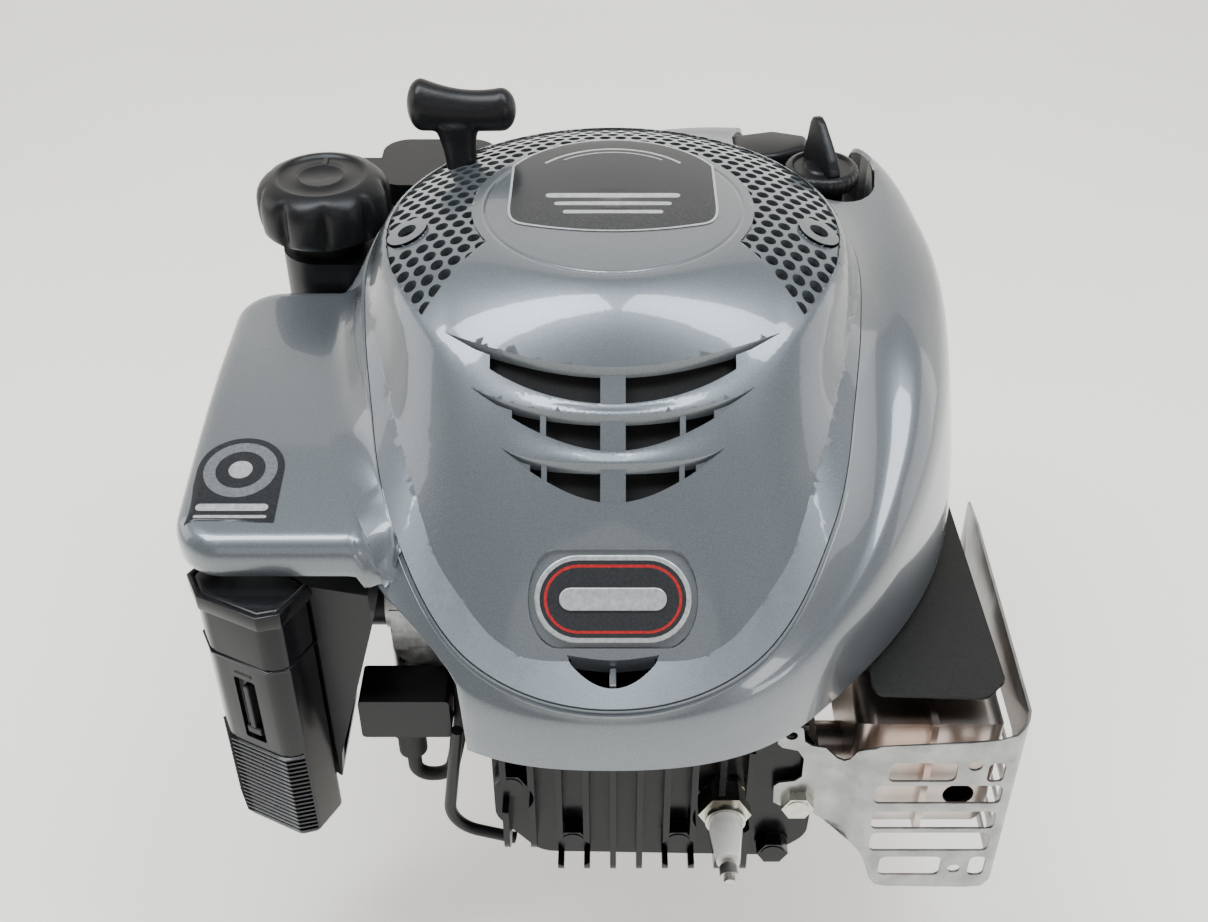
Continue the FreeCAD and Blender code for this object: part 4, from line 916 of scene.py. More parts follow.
def patch_mesh(name, loops, step, height, region):
    """A thin pattern laid on a surface: split along its loops, with a finish index for each region."""
    points, edges = [], []
    for loop in loops:
        first = len(points)
        points.extend(loop)
        edges.extend((first + k, first + (k + 1) % len(loop)) for k in range(len(loop)))
    xs, ys = [p[0] for p in loops[0]], [p[1] for p in loops[0]]
    for j in range(int(min(ys) / step), int(max(ys) / step) + 1):
        for i in range(int(min(xs) / step), int(max(xs) / step) + 1):
            p = ((i + 0.5 * (j % 2)) * step, j * step)
            if inside_polygon(*p, loops[0]):
                points.append(p)
    verts, _, faces, _, _, _ = delaunay_2d_cdt([Vector(p) for p in points], edges, [], 0, 1e-4)
    polys, finish = [], []
    for tri in faces:
        x = sum(verts[i].x for i in tri) / 3
        y = sum(verts[i].y for i in tri) / 3
        if inside_polygon(x, y, loops[0]):
            polys.append(counter_clockwise(tri, verts))
            finish.append(region(x, y))
    mesh = mesh_from(name, [(v.x, v.y, height(v.x, v.y)) for v in verts], polys)
    mesh.polygons.foreach_set("material_index", finish)
    mesh.shade_smooth()
    return mesh


def finer(line, step):
    """The same line with more points, at most a step apart."""
    points = []
    for (x0, y0), (x1, y1) in zip(line, line[1:]):
        count = max(1, int(math.hypot(x1 - x0, y1 - y0) / step))
        points += [(x0 + (x1 - x0) * k / count, y0 + (y1 - y0) * k / count) for k in range(count)]
    return points + [line[-1]]


def wing_share(x):
    """How far a plan point has passed from the wing into the housing."""
    t = max(0.0, min(1.0, (x + 106.0) / 19.0))
    return t * t * (3 - 2 * t)


def housing_top(x, y):
    """Height of the housing's upper surface over a plan point."""
    r = math.hypot(x, y)
    profile = housing_profile(math.degrees(math.atan2(y, x)))[2:]
    if r <= profile[0][0]:
        return profile[0][1]
    for (r0, h0), (r1, h1) in zip(profile, profile[1:]):
        if r0 <= r <= r1 and r1 > r0:
            return h0 + (h1 - h0) * (r - r0) / (r1 - r0)
    widest = max(profile)
    return widest[1] - 1.5 * (r - widest[0])


def wing_surface(x, y):
    share = wing_share(x)
    flat = wing_height(x, y)
    if share <= 0:
        return flat
    return flat * (1 - share) + (housing_top(x, y) - 0.5) * share


def build_wing():
    """The shoulder over the air cleaner: a shell that is open below and runs into the housing."""
    insets = (0.0, 0.2, 0.7, 1.6, 2.9, 4.5, 6.4, 8.5, 13.0)
    edge_line = finer(wing_plan(0), 3.0)
    front, rear = edge_line[0][1], edge_line[-1][1]
    loops = [edge_line + [(WING_X1, rear + (front - rear) * k / 60) for k in range(1, 60)]]
    for inset in insets[1:]:
        line = finer(wing_plan(inset), 3.0)
        loops.append(line + finer([line[-1], line[0]], 3.0)[1:-1])
    mesh = patch_mesh("wing_shell", loops, 3.4, wing_surface, lambda x, y: 0)
    bm = bmesh.new()
    bm.from_mesh(mesh)
    loose = [v for v in bm.verts if not v.link_faces]
    bmesh.ops.delete(bm, geom=loose, context="VERTS")
    bm.to_mesh(mesh)
    bm.free()
    # the wall below the rounded edge, with its lip turned in
    coords, faces = [], []
    n = len(edge_line)
    for inset, low in ((0.0, 0.0), (0.0, 0.5), (0.0, 1.0), (0.5, 1.12), (1.6, 1.16), (2.4, 1.1)):
        for x, y in edge_line:
            top = wing_surface(x, y)
            reach = 4.6 * (1 - wing_share(x)) + 2.0
            step = 0.5
            gx = (wing_inset(x + step, y) - wing_inset(x - step, y)) / (2 * step)
            gy = (wing_inset(x, y + step) - wing_inset(x, y - step)) / (2 * step)
            coords.append((x + gx * inset, y + gy * inset, top - reach * low))
    for k in range(5):
        for i in range(n - 1):
            faces.append((k * n + i, k * n + i + 1, (k + 1) * n + i + 1, (k + 1) * n + i))
    wall = mesh_from("wing_wall", coords, faces)
    bm = bmesh.new()
    bm.from_mesh(mesh)
    bm.from_mesh(wall)
    bmesh.ops.remove_doubles(bm, verts=bm.verts[:], dist=0.02 * MM)
    bmesh.ops.recalc_face_normals(bm, faces=bm.faces[:])
    bm.to_mesh(mesh)
    bm.free()
    obj = make_object("wing_shell", mesh)
    if sum(p.normal.z * p.area for p in obj.data.polygons) < 0:
        obj.data.flip_normals()
    smooth_by_angle(obj, 55)
    settle(obj, SILVER)


def wall_radius(profile, height):
    """Radius and lean of the housing's outer wall at a height."""
    for (r0, h0), (r1, h1) in zip(profile[2:], profile[3:]):
        if h1 <= height <= h0 and h0 - h1 > 1e-6:
            t = (h0 - height) / (h0 - h1)
            return r0 + (r1 - r0) * t, (r1 - r0) / (h0 - h1)
    return None


def build_valley():
    """Hollow curve that joins the wing to the housing's ramp."""
    coords, faces, rows = [], [], 0
    steps = 10
    for k in range(121):
        angle = 150 + 87 * k / 120
        c, s = math.cos(math.radians(angle)), math.sin(math.radians(angle))
        profile = housing_profile(angle)
        line = pchip([a for a, _ in HOLLOW], [r for _, r in HOLLOW], angle)
        reach = line + 5.0
        z2 = wing_surface(reach * c, reach * s) + 0.12
        size = min(14.0, profile[2][1] - z2 - 0.5)
        if size < 1.5 or wing_inset(reach * c, reach * s) < 0.5:
            p0, p1 = profile[2], (profile[2][0] + 3, profile[2][1] - 0.2)
            size = 1.5
        else:
            r1, lean = wall_radius(profile, z2 + size)
            p0, p1 = (r1 + 0.1, z2 + size), (r1 + lean * size * 0.55 + 0.1, z2 + size * 0.45)
        p2 = (max(p1[0], reach - 8.0), z2 + 0.1)
        for j in range(steps + 1):
            r, z = bezier(p0, p1, p2, (reach, z2), j / steps)
            coords.append((r * c, r * s, z))
        rows += 1
    n = steps + 1
    for k in range(rows - 1):
        for j in range(steps):
            faces.append((k * n + j, k * n + j + 1, (k + 1) * n + j + 1, (k + 1) * n + j))
    obj = make_object("wing_valley", mesh_from("wing_valley", coords, faces))
    if sum(p.normal.z * p.area for p in obj.data.polygons) < 0:
        obj.data.flip_normals()
    obj.data.shade_smooth()
    settle(obj, SILVER)


build_wing()
build_valley()


# ---- labels and badge ---------------------------------------------------
LABEL_DARK = make_plastic("label_dark", (0.016, 0.017, 0.019), (0.18, 0.3), 0.03)
LABEL_LIGHT = make_metal("label_light", (0.42, 0.43, 0.44), (0.58, 0.59, 0.60), (0.25, 0.4), 500.0,
                         0.0, metallic=0.6)
LABEL_GREY = make_plastic("label_grey", (0.11, 0.115, 0.12), (0.2, 0.3), 0.03)
RED = make_plastic("badge_red", (0.30, 0.012, 0.012), (0.16, 0.26), 0.03)


def stadium(cx, cy, half, r, n=10):
    """Bar with round ends, half long from centre to end."""
    points = []
    for side, first in ((1, -90), (-1, 90)):
        for k in range(n + 1):
            a = math.radians(first + 180 * k / n)
            points.append((cx + side * (half - r) + r * math.cos(a), cy + r * math.sin(a)))
    return points


def arc(cx, cy, r, a0, a1, n=24):
    turns = [math.radians(a0 + (a1 - a0) * k / n) for k in range(n + 1)]
    return [(cx + r * math.cos(a), cy + r * math.sin(a)) for a in turns]


def arc_band(cx, cy, r0, r1, a0, a1):
    return arc(cx, cy, r1, a0, a1) + arc(cx, cy, r0, a1, a0)


def lay_label(name, mesh, finishes):
    """A label whose regions have these finishes, in the order of their numbers."""
    for mat in finishes:
        mesh.materials.append(mat)
    obj = make_object(name, mesh)
    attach(obj, ROOT)


def label_outline(inset):
    r, side = 52.5 - inset, 46.5 - inset
    start = math.degrees(math.acos(side / r))
    points = []
    for k in range(41):
        a = math.radians(start + (180 - 2 * start) * k / 40)
        points.append((r * math.cos(a), 12 + r * math.sin(a)))
    low = [bezier((-side, -2), (-side, -14), (-side + 2, -18 + inset), (-side + 9, -20 + inset), k / 8)
           for k in range(9)]
    points += low
    for k in range(1, 24):
        x = (-side + 9) * (1 - k / 12)
        points.append((x, -26 + inset + 6.0 * (x / (side - 9)) ** 2))
    points += [(-x, y) for x, y in reversed(low)]
    return points


def build_label():
    field = label_outline(1.1)
    marks = [stadium(0, 6 - 7.5 * k, 30 - 4 * k, 1.5 + 0.5 * (k == 0)) for k in range(3)]
    arcs = [arc_band(0, 12, 40, 41.4, 40, 140), arc_band(0, 12, 36.6, 37.4, 52, 128)]

    def region(x, y):
        if not inside_polygon(x, y, field):
            return 1
        for loop in marks + arcs:
            if inside_polygon(x, y, loop):
                return 1
        return 0
    mesh = patch_mesh("top_label", [label_outline(0), field] + marks + arcs, 3.5,
                      lambda x, y: plain_dome(x, y) + 0.35, region)
    lay_label("top_label", mesh, (LABEL_DARK, LABEL_LIGHT))


build_label()


def build_wing_label():
    cx, cy, r = -157.0, -98.0, 18.5
    outline = [(cx + r, cy - 29)] + arc(cx, cy, r, 0, 180) + [(cx - r, cy - 29)]
    ring_out, ring_in = circle(cx, cy, 15.5, 40), circle(cx, cy, 10.5, 40)
    bars = [stadium(cx, cy - 21.0, 15, 1.9), stadium(cx, cy - 26.0, 15, 0.8)]
    core = circle(cx, cy, 5.0, 30)

    def region(x, y):
        d = math.hypot(x - cx, y - cy)
        if 10.5 < d < 15.5:
            return 2
        for loop in bars + [core]:
            if inside_polygon(x, y, loop):
                return 1
        return 0
    mesh = patch_mesh("wing_label", [outline, ring_out, ring_in, core] + bars, 3.0,
                      lambda x, y: wing_surface(x, y) + 0.3, region)
    lay_label("wing_label", mesh, (LABEL_DARK, LABEL_LIGHT, LABEL_GREY))


build_wing_label()

SLOPE = math.atan2(cover_height(0, -142) - cover_height(0, -171), 29.0)
SEAT = Vector((0, -156.6, cover_height(0, -156.6)))
ALONG = Vector((0, math.cos(SLOPE), math.sin(SLOPE)))
OUTWARD = Vector((0, -math.sin(SLOPE), math.cos(SLOPE)))


def sloped_prism(name, loop, d0, d1, bevel=0.0):
    """Prism on the sloping front: the loop is in across and up-slope mm."""
    coords = []
    for d in (d0, d1):
        for s, t in loop:
            coords.append(tuple(SEAT + Vector((s, 0, 0)) + ALONG * t + OUTWARD * d))
    mesh = mesh_from(name, coords, prism_faces(len(loop)))
    bm = bmesh.new()
    bm.from_mesh(mesh)
    bmesh.ops.recalc_face_normals(bm, faces=bm.faces[:])
    if bevel:
        top = [e for e in bm.edges if all((v.co / MM - SEAT).dot(OUTWARD) > d1 - 0.01 for v in e.verts)]
        bmesh.ops.bevel(bm, geom=top, offset=bevel * MM, segments=3, profile=0.5, affect="EDGES")
    bm.to_mesh(mesh)
    bm.free()
    return mesh


def build_badge():
    # name, half length, radius, corner points, lower and upper face, rounding, finish
    layers = (("badge_seat", 35.5, 21.8, 16, -3.2, -2.4, 0.0, SILVER),
              ("badge_plate", 31.5, 17.6, 18, -2.4, 0.4, 0.7, LABEL_LIGHT),
              ("badge_field", 29.3, 15.4, 18, 0.2, 0.55, 0.0, LABEL_DARK),
              ("badge_line", 27.6, 13.7, 18, 0.5, 0.7, 0.0, RED),
              ("badge_inner", 26.4, 12.5, 18, 0.6, 0.85, 0.0, LABEL_DARK),
              ("badge_bar", 21.5, 4.6, 10, 0.6, 1.9, 0.5, LABEL_LIGHT))
    for name, half, r, n, d0, d1, bevel, mat in layers:
        obj = make_object(name, sloped_prism(name, stadium(0, 0, half, r, n), d0, d1, bevel))
        if bevel:
            smooth_by_angle(obj, 40)
        settle(obj, mat, stands_for=("front_badge",) if name == "badge_plate" else ())


build_badge()


def build_latch():
    """Dark plate behind the slot, painted shade of its pocket, and the small rib that crosses it."""
    z = cover_height(0, -173)
    # a thin dark plate below the slot: painted shade in the pocket
    latch_shade = box_object("latch_shade_plate", (-20, -186, z - 22), (20, -171, z - 20), 0.8, 2)
    settle(latch_shade, SHADE_BLACK)
    rib = box_object("latch_rib", (-1.3, -183.0, z - 14), (1.3, -173.5, z - 3.5), 0.5, 2)
    settle(rib, SILVER)


build_latch()


# ---- muffler guard ------------------------------------------------------
def slot_loop(x0, x1, z0, z1, r, n=5):
    points = []
    corners = ((x1 - r, z1 - r, 0), (x0 + r, z1 - r, 90), (x0 + r, z0 + r, 180), (x1 - r, z0 + r, 270))
    for cx, cz, first in corners:
        for k in range(n + 1):
            a = math.radians(first + 90 * k / n)
            points.append((cx + r * math.cos(a), cz + r * math.sin(a)))
    return points


def build_guard():
    """One bent sheet: a tab on the head, a slotted front and a slotted side."""
    bend_at, bend_r = 172.0, 6.0
    bend_len = bend_r * math.pi / 2
    side_end = bend_at + bend_len + 138
    outline = [(71.8, 99.0), (73.2, 100.4), (80.5, 100.4), (82.4, 98.6), (83.5, 90.5), (87, 87.5),
               (93, 86.1), (98.5, 79.5), (101.5, 77.8), (104.0, 80.5), (106.6, 88.1), (110.5, 92.6),
               (116.2, 95.3), (152.7, 97.9), (166, 99.4), (172.4, 102.4), (177.0, 108), (181.5, 112.5),
               (side_end - 20, 114.5), (side_end, 112.0),
               (side_end, 30.0), (side_end - 14, 4.0), (184, 2.0), (178.0, 0.4), (172.0, -2.6), (166, -3.4),
               (128, -2.6), (122.5, -1.1), (119.5, 3.5), (115.5, 17.0), (112.9, 23.2), (108.5, 27.5),
               (96, 37.0), (88.5, 44.4), (84, 46.4), (75.5, 47.0), (72.4, 49.5), (72.0, 60.5),
               (74.0, 62.8), (81.0, 64.0), (84.0, 67.0), (84.0, 79.0), (81.0, 84.5), (74.0, 86.5),
               (71.8, 89.0)]
    slots = [slot_loop(120.5, 150.0, 72.6, 85.2, 3.2), slot_loop(163.4, 170.8, 72.6, 85.2, 3.0),
             slot_loop(115.6, 171.8, 57.6, 70.2, 3.2), slot_loop(116.2, 171.8, 39.8, 52.4, 3.2),
             slot_loop(117.0, 171.6, 23.8, 37.2, 3.2), slot_loop(123.0, 151.6, 5.6, 19.6, 3.2),
             slot_loop(164.6, 172.2, 5.6, 19.6, 3.0), circle(157.5, 83.0, 3.0, 16),
             circle(158.2, 10.6, 3.0, 16), circle(77.6, 94.2, 2.6, 16), circle(83.0, 50.0, 4.2, 20)]
    for z0, z1 in ((72.6, 85.2), (57.6, 70.2), (39.8, 52.4), (23.8, 37.2)):
        slots += [slot_loop(x0, x1, z0, z1, 3.2) for x0, x1 in ((192, 226), (234, 268), (276, 306))]
    slots.append(slot_loop(196, 222, 7.6, 17.0, 3.0))

    def bent(s, z):
        back = max(0.0, min(1.0, (114.0 - s) / 14.0))
        y = -164.0 + 7.6 * back * back * (3 - 2 * back)
        if s <= bend_at:
            return s, y, z
        if s <= bend_at + bend_len:
            a = (s - bend_at) / bend_r
            return bend_at + bend_r * math.sin(a), -164.0 + bend_r * (1 - math.cos(a)), z
        return bend_at + bend_r, -164.0 + bend_r + (s - bend_at - bend_len), z

    points, edges = [], []
    for loop in [outline] + slots:
        first = len(points)
        points.extend(loop)
        edges.extend((first + k, first + (k + 1) % len(loop)) for k in range(len(loop)))
    for x in [100, 102, 104, 106, 108, 110, 112, 114] + [bend_at + bend_len * k / 8 for k in range(9)]:
        for k in range(60):
            p = (x, -2 + 2.0 * k)
            if inside_polygon(*p, outline) and not any(inside_polygon(*p, loop) for loop in slots):
                points.append(p)
    verts, _, faces, _, _, _ = delaunay_2d_cdt([Vector(p) for p in points], edges, [], 0, 1e-4)
    polys = []
    for tri in faces:
        x = sum(verts[i].x for i in tri) / 3
        z = sum(verts[i].y for i in tri) / 3
        if inside_polygon(x, z, outline) and not any(inside_polygon(x, z, loop) for loop in slots):
            a, b, c = (verts[i] for i in tri)
            polys.append(list(tri) if (b - a).cross(c - a) > 0 else [tri[0], tri[2], tri[1]])
    obj = make_object("guard_sheet", mesh_from("guard_sheet", [bent(v.x, v.y) for v in verts], polys))
    thick = obj.modifiers.new("thick", "SOLIDIFY")
    thick.thickness = 1.3 * MM
    thick.offset = -1
    edge = obj.modifiers.new("edge", "BEVEL")
    edge.width = 0.35 * MM
    edge.segments = 2
    edge.limit_method = "ANGLE"
    edge.angle_limit = math.radians(50)
    apply_all(obj)
    smooth_by_angle(obj, 35)
    settle(obj, BRIGHT, stands_for=("muffler_guard",))


build_guard()

# ---- fuel cap -----------------------------------------------------------
def lathe(name, rows, n, radius_of=None):
    """Turned shape from (radius, height) rows; radius_of may shape it around the axis."""
    coords, faces = [], []
    for r, z in rows:
        for k in range(n):
            a = 2 * math.pi * k / n
            rr = radius_of(r, z, a) if radius_of else r
            coords.append((rr * math.cos(a), rr * math.sin(a), z))
    for j in range(len(rows) - 1):
        for k in range(n):
            faces.append((j * n + k, j * n + (k + 1) % n, (j + 1) * n + (k + 1) % n, (j + 1) * n + k))
    faces.append(tuple(reversed(range(n))))
    last = (len(rows) - 1) * n
    faces.append(tuple(last + k for k in range(n)))
    return mesh_from(name, coords, faces)


def placed(mesh, x, y, z=0.0):
    mesh.transform(Matrix.Translation(Vector((x, y, z)) * MM))
    return mesh


def build_fuel_cap():
    def grip(r, z, a):
        if r < 24:
            return r
        share = max(0.0, min(1.0, (z - 225.5) / 3)) * max(0.0, min(1.0, (249.0 - z) / 8))
        lobe = 360 / 9
        off = abs((math.degrees(a) + lobe / 2) % lobe - lobe / 2)
        return r - 2.6 * share * math.exp(-(off / 5.0) ** 2) - 0.5 * share * math.cos(math.radians(off * 9))
    rows = [(26.0, 225.2), (29.5, 224.8), (30.8, 225.4), (31.6, 227.0), (32.0, 229.5), (32.2, 233.0),
            (32.2, 237.0), (32.0, 240.0), (31.4, 243.0), (30.2, 245.6), (28.4, 247.6), (26.2, 249.0),
            (24.2, 249.8), (22.8, 250.3), (21.8, 250.4), (21.0, 250.0), (20.4, 249.2), (19.6, 248.9),
            (12.0, 249.2), (11.4, 249.7), (10.4, 249.8), (9.8, 249.3), (1.0, 249.3)]
    cap = make_object("fuel_cap_grip", placed(lathe("fuel_cap_grip", rows, 216, grip), -141, 61))
    face_out(cap.data)
    smooth_by_angle(cap, 50)
    settle(cap, BLACK, "fuel_cap_body", ("fuel_cap",))
    arrow = box_object("fuel_cap_mark", (-142.2, 71.5, 248.6), (-139.8, 79.5, 250.0), 0.5, 2)
    settle(arrow, BLACK, "fuel_cap_body")
    skirt = [(19.0, 223.0), (21.5, 223.4), (22.3, 224.2), (22.3, 228.0), (19.0, 228.4)]
    seat = make_object("fuel_cap_skirt", placed(lathe("fuel_cap_skirt", skirt, 96), -141, 61))
    face_out(seat.data)
    smooth_by_angle(seat, 50)
    settle(seat, BLACK, "fuel_cap_body")


build_fuel_cap()


# ---- starter handle -----------------------------------------------------
def add_ball(bm, centre, radii, turn=None):
    made = bmesh.ops.create_icosphere(bm, subdivisions=3, radius=1.0)["verts"]
    for v in made:
        p = Vector((v.co.x * radii[0], v.co.y * radii[1], v.co.z * radii[2]))
        if turn:
            p = turn @ p
        v.co = (Vector(centre) + p) * MM


def build_handle():
    """T-shaped grip with a flowing neck, thicker at its left end."""
    bm = bmesh.new()
    left, right = Vector((-89.5, 61.5, 284.6)), Vector((-52.0, 58.5, 283.6))
    for k in range(31):
        t = k / 30
        p = left.lerp(right, t)
        p.z += 1.6 * (2 * t - 1) ** 2
        thick = 9.6 + 2.2 * (1 - t) ** 2 + 0.8 * (2 * t - 1) ** 2
        add_ball(bm, p, (7.0, thick * 0.82, thick))
    top, low = Vector((-74.0, 60.4, 279.0)), Vector((-70.9, 53.9, 249.6))
    for k in range(26):
        t = k / 25
        p = top.lerp(low, t)
        r = 7.0 + 5.0 * (1 - t) ** 3 + 0.6 * t
        add_ball(bm, p, (r, r * 0.85, 2.6))
    mesh = bpy.data.meshes.new("handle_grip")
    bm.to_mesh(mesh)
    bm.free()
    obj = make_object("handle_grip", mesh)
    union = obj.modifiers.new("union", "REMESH")
    union.mode = "VOXEL"
    union.voxel_size = 0.8 * MM
    soft = obj.modifiers.new("soft", "SMOOTH")
    soft.factor = 0.5
    soft.iterations = 9
    apply_all(obj)
    obj.data.shade_smooth()
    settle(obj, BLACK, "handle_body", ("starter_handle",))


build_handle()


# ---- dipstick cap -------------------------------------------------------
def build_dipstick_cap():
    rows = [(14.0, 234.6), (17.6, 235.0), (18.4, 236.0), (18.6, 240.0), (18.2, 242.0), (17.0, 243.2),
            (15.4, 243.6), (14.6, 243.2), (13.8, 242.4), (9.0, 242.4), (8.0, 243.4), (1.0, 243.6)]

    def knurl(r, z, a):
        return r - 0.35 * (0.5 + 0.5 * math.cos(32 * a)) if r > 17.8 and 235.5 < z < 242.5 else r
    disc = make_object("dipstick_knob", placed(lathe("dipstick_knob", rows, 192, knurl), 104, 84))
    face_out(disc.data)
    smooth_by_angle(disc, 40)
    settle(disc, BLACK, "dipstick_body", ("dipstick",))
    plug_rows = [(1.0, 224.4), (7.4, 224.4), (8.2, 225.2), (8.2, 227.8), (7.4, 228.0), (7.4, 231.2),
                 (8.2, 231.4), (8.2, 235.0), (1.0, 235.2)]
    plug = make_object("dipstick_plug", placed(lathe("dipstick_plug", plug_rows, 64), 104, 84))
    face_out(plug.data)
    smooth_by_angle(plug, 40)
    settle(plug, BLACK, "dipstick_body")
    blade = turned(rounded_box("dipstick_blade", (-3, -1, -150), (3, 1, 0), 0.5, 2), 104, 84, 235.5, 62)
    settle(make_object("dipstick_blade", blade), STEEL, "dipstick_body")
    # the upright paddle, highest at its far end
    side = ((-15.5, 0.0), (-14.8, 5.5), (-12.4, 9.5), (-6.0, 16.0), (2.0, 23.5), (5.6, 25.0), (9.2, 24.2),
            (11.0, 21.0), (12.2, 12.0), (13.6, 5.0), (14.4, 0.0))
    coords = [(x, face * (2.1 + 1.1 * (1 - z / 25)), z) for face in (-1, 1) for x, z in side]
    obj = make_object("dipstick_wing", mesh_from("dipstick_wing", coords, prism_faces(len(side))))
    round_edges(obj.data, 1.1, 3, clamp_overlap=True)
    smooth_by_angle(obj, 40)
    turned(obj.data, 103.6, 85.5, 241.0, 111)
    settle(obj, BLACK, "dipstick_body")


build_dipstick_cap()


# ---- air cleaner cover --------------------------------------------------
CLEANER = ((-176, -131), (-170, -143), (-144, -156), (-136, -154), (-127, -137), (-163, -109))


def offset_line(line, distance):
    """Open polyline moved outwards, to its right when it is followed."""
    out = []
    for k, (x, y) in enumerate(line):
        dirs = []
        for a, b in ((k - 1, k), (k, k + 1)):
            if 0 <= a and b < len(line):
                dx, dy = line[b][0] - line[a][0], line[b][1] - line[a][1]
                size = math.hypot(dx, dy)
                dirs.append((dy / size * -1, dx / size))
        nx, ny = sum(d[0] for d in dirs) / len(dirs), sum(d[1] for d in dirs) / len(dirs)
        size = nx * nx + ny * ny
        out.append((x - nx / size * distance, y - ny / size * distance))
    return out


def build_cleaner_cover():
    plan = [(-163, -109)] + list(CLEANER[:5])
    body = prism_mesh("cleaner_shell", CLEANER, 24, 166)
    round_edges(body, 2.6, 4)
    obj = make_object("cleaner_shell", body)
    # recess with an arrow in the front-left face
    along = Vector((-144 + 170, -156 + 143, 0)).normalized()
    out = Vector((along.y, -along.x, 0))
    mid = Vector((-157.0, -149.5, 0))

    def block(name, s0, s1, z0, z1, d0, d1, bevel=0.5):
        mesh = rounded_box(name, (s0, d0, z0), (s1, d1, z1), bevel, 2)
        turn = Matrix(((along.x, out.x, 0, mid.x * MM), (along.y, out.y, 0, mid.y * MM),
                       (0, 0, 1, 0), (0, 0, 0, 1)))
        mesh.transform(turn)
        return make_object(name, mesh)
    cut_out(obj, block("pocket", -5.5, 5.5, 84, 122, -2.6, 6, 1.0))
    smooth_by_angle(obj, 35)
    settle(obj, GLOSS_BLACK, "cleaner_cover_body", ("air_cleaner_cover",))
    marks = {"cleaner_arrow_0": (-1.3, 1.3, 92, 118), "cleaner_arrow_1": (-3.6, 3.6, 88, 92),
             "cleaner_clip_0": (-4.6, 4.6, 124, 126)}
    for name, sides in marks.items():
        settle(block(name, *sides, -2.9, 0.4), BLACK, "cleaner_cover_body")
    # grip ribs round the foot
    line = finer(plan[1:5], 4.0)
    coords, faces = [], []
    n = len(line)
    rows = []
    for k in range(19):
        z = 27.5 + 2.75 * k
        rows += [(z, -0.3), (z + 0.35, 0.75), (z + 1.3, 0.85), (z + 1.75, -0.3)]
    for z, d in rows:
        ends = offset_line(line, d)
        coords.extend((x, y, z) for x, y in ends)
    for j in range(len(rows) - 1):
        for i in range(n - 1):
            faces.append((j * n + i, j * n + i + 1, (j + 1) * n + i + 1, (j + 1) * n + i))
    ribs = make_object("cleaner_ribs", mesh_from("cleaner_ribs", coords, faces))
    face_out(ribs.data)
    smooth_by_angle(ribs, 30)
    settle(ribs, GLOSS_BLACK, "cleaner_cover_body")
    # rolled rim at the top and a step below it
    for name, z0, z1, d in (("cleaner_rim", 158.5, 166.2, 1.6), ("cleaner_step", 132.0, 133.4, 0.7)):
        outer = offset_line(plan[0:6], d)
        inner = offset_line(plan[0:6], -1.0)
        mesh = prism_mesh(name, outer + inner[::-1], z0, z1)
        round_edges(mesh, 0.5, 2)
        rim = make_object(name, mesh)
        smooth_by_angle(rim, 35)
        settle(rim, GLOSS_BLACK, "cleaner_cover_body")
    edge = box_object("filter_edge", (-141, -139.6, 148), (-128.5, -137.4, 163), 0.9, 3)
    settle(edge, FOAM)


build_cleaner_cover()


# ---- dark sheets under the openings, painted shade seen through them ----
def build_liners():
    """Dark sheets painted as the shade inside, seen through the louvres and the air holes."""
    ring, faces = [], []
    n = 96
    for r, drop in ((54.0, 10.0), (70.0, 9.0), (86.0, 9.0), (100.0, 9.0), (104.0, 8.0)):
        for k in range(n):
            a = 2 * math.pi * k / n
            x, y = r * math.cos(a), r * math.sin(a)
            ring.append((x, y, plain_dome(x, y) - drop))
    for j in range(4):
        for k in range(n):
            a = 360 * (k + 0.5) / n
            if 118 < a < 170:
                continue
            faces.append((j * n + k, j * n + (k + 1) % n, (j + 1) * n + (k + 1) % n, (j + 1) * n + k))
    # a dark ring sheet under the air holes: painted shade inside the housing
    hole_shade = make_object("hole_shade_sheet", mesh_from("hole_shade_sheet", ring, faces))
    settle(hole_shade, SHADE_BLACK)
    coords, faces = [], []
    nx, ny = 30, 14
    for j in range(ny + 1):
        for i in range(nx + 1):
            x, y = -62 + 124 * i / nx, -92 - 46 * j / ny
            coords.append((x, y, plain_dome(x, y) - 12.0))
    for j in range(ny):
        for i in range(nx):
            a = j * (nx + 1) + i
            faces.append((a, a + 1, a + nx + 2, a + nx + 1))
    # a dark flat sheet under the louvres: painted shade inside the housing
    slots = make_object("louvre_shade_sheet", mesh_from("louvre_shade_sheet", coords, faces))
    settle(slots, SHADE_BLACK)
    # cup below the recess of the dipstick cap
    plan = recess_plan(26.0, 1.2)
    n = len(plan)
    low = RECESS_FLOOR + 0.8
    coords = [(x, y, low) for x, y in plan]
    for x, y in plan:
        top = housing_top(x, y) - 2.6 if math.hypot(x, y) > 118 else plain_dome(x, y) - 6.0
        coords.append((x, y, max(low + 0.5, top)))
    sides = [(k, (k + 1) % n, n + (k + 1) % n, n + k) for k in range(n)]
    faces = [tuple(range(n))] + sides[:20] + sides[26:]
    cup = make_object("recess_liner", mesh_from("recess_liner", coords, faces))
    settle(cup, BLACK)
    plan = ((62, 104), (84, 108), (101, 118), (102, 131), (84, 137), (62, 131))
    bar = make_object("rear_bar", prism_mesh("rear_bar", plan, 214, 237))
    round_edges(bar.data, 3.0, 4)
    smooth_by_angle(bar, 35)
    settle(bar, BLACK)


build_liners()


# ---- head bolts ---------------------------------------------------------
def build_bolt_finish():
    """Painted bolts, except the bright one that holds the guard."""
    bolts = NODES["head_bolts"].data
    bolts.materials.append(CASTING)
    for poly in bolts.polygons:
        c = poly.center / MM
        held = math.hypot(c.x - 83, c.z - 50) < 9.5
        poly.material_index = 0 if held else 1


build_bolt_finish()

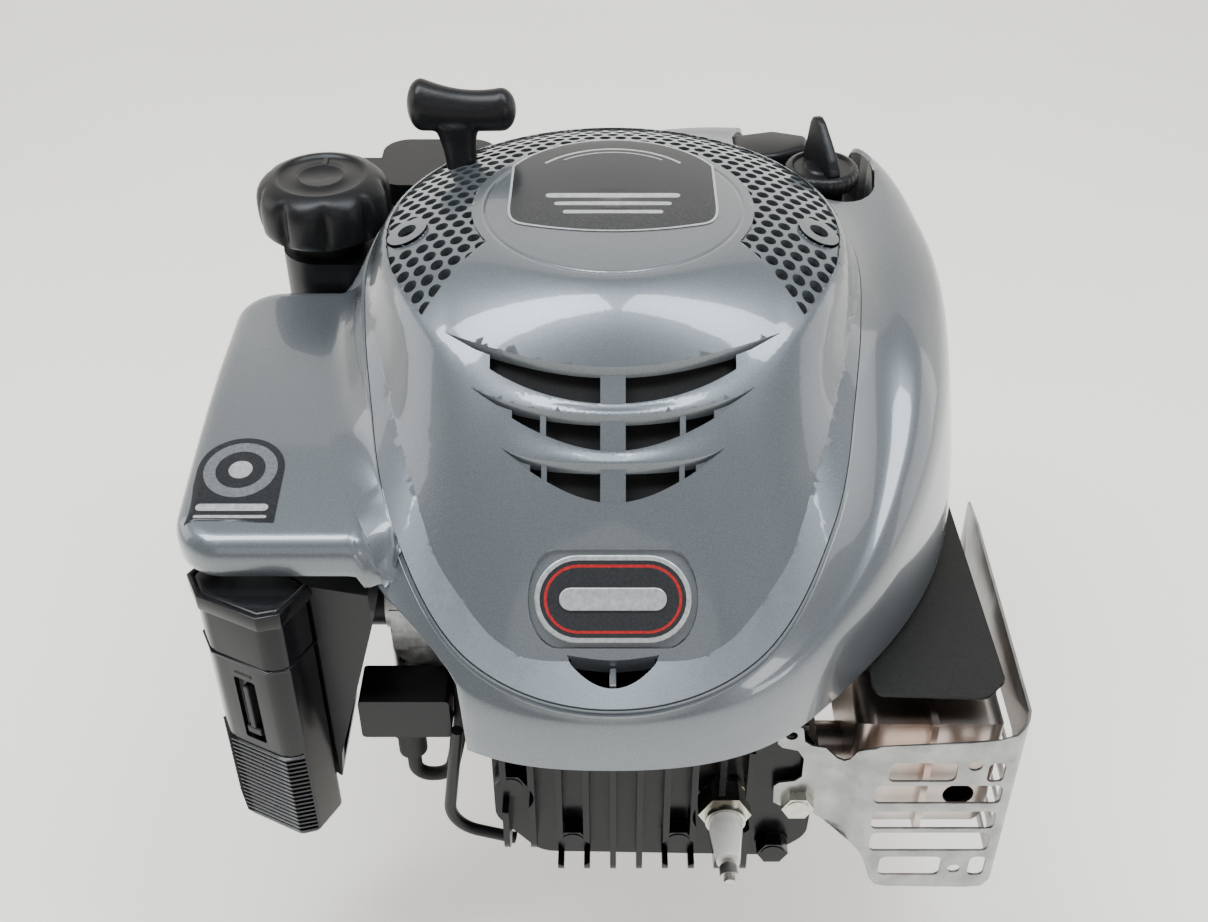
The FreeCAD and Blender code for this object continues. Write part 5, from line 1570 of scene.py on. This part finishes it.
# ---- camera, light and floor --------------------------------------------
camera = bpy.data.objects.new("camera", bpy.data.cameras.new("camera"))
bpy.context.scene.collection.objects.link(camera)
camera.location = (0, -0.584, 0.5866)
camera.rotation_euler = (math.radians(51.5), 0, 0)
camera.data.lens = 44.1
camera.data.sensor_width = 36
camera.data.shift_x = -9 / 1208
camera.data.clip_start = 0.01
bpy.context.scene.camera = camera


def area_light(name, place, target, size, size_y, power, color=(1, 1, 1)):
    light = bpy.data.lights.new(name, "AREA")
    light.shape = "RECTANGLE"
    light.size, light.size_y, light.energy, light.color = size, size_y, power, color
    obj = bpy.data.objects.new(name, light)
    obj.location = place
    obj.rotation_euler = (Vector(target) - Vector(place)).to_track_quat("-Z", "Y").to_euler()
    bpy.context.scene.collection.objects.link(obj)
    return obj


DAYLIGHT = (0.90, 0.96, 1.0)
area_light("top_left", (-0.45, -0.15, 1.35), (0, 0, 0.15), 0.35, 0.9, 17, DAYLIGHT)
area_light("top_right", (0.5, -0.15, 1.35), (0, 0, 0.15), 0.35, 0.9, 14, DAYLIGHT)
area_light("front_fill", (0.0, -1.6, 1.0), (0, 0, 0.1), 1.6, 0.8, 3)
area_light("right_side", (1.4, 0.2, 0.5), (0, 0, 0.15), 0.8, 0.8, 3.5)
area_light("left_side", (-1.4, 0.1, 0.6), (0, 0, 0.15), 0.8, 0.8, 5)
area_light("muffler_side", (0.75, -0.75, 0.35), (0.13, -0.1, 0.09), 0.3, 0.3, 1.6)

world = bpy.data.worlds.new("studio")
world.use_nodes = True
world.node_tree.nodes["Background"].inputs["Color"].default_value = (0.92, 0.91, 0.88, 1)
world.node_tree.nodes["Background"].inputs["Strength"].default_value = 0.30
bpy.context.scene.world = world

FLOOR_Z = -0.08
mesh = bpy.data.meshes.new("floor")
bm = bmesh.new()
profile = [(-6.0, 0.0), (1.1, 0.0)]
for k in range(1, 13):
    a = math.pi / 2 * k / 12
    profile.append((1.1 + 0.6 * math.sin(a), 0.6 - 0.6 * math.cos(a)))
profile.append((1.7, 2.6))
rows = [[bm.verts.new((x, y, FLOOR_Z + z)) for y, z in profile] for x in (-6.0, 6.0)]
for k in range(len(profile) - 1):
    bm.faces.new((rows[0][k], rows[1][k], rows[1][k + 1], rows[0][k + 1]))
bm.to_mesh(mesh)
bm.free()
mesh.shade_smooth()
floor_mat, floor_shader = new_material("floor", (0.86, 0.85, 0.82), 0.0, 0.6)
add_noise(floor_mat, floor_shader, 3.0, (0.85, 0.84, 0.80), (0.89, 0.88, 0.845))
floor_shader.inputs["Emission Color"].default_value = (0.97, 0.92, 0.86, 1)
floor_shader.inputs["Emission Strength"].default_value = 0.60
mesh.materials.append(floor_mat)
floor_obj = bpy.data.objects.new("floor", mesh)
bpy.context.scene.collection.objects.link(floor_obj)
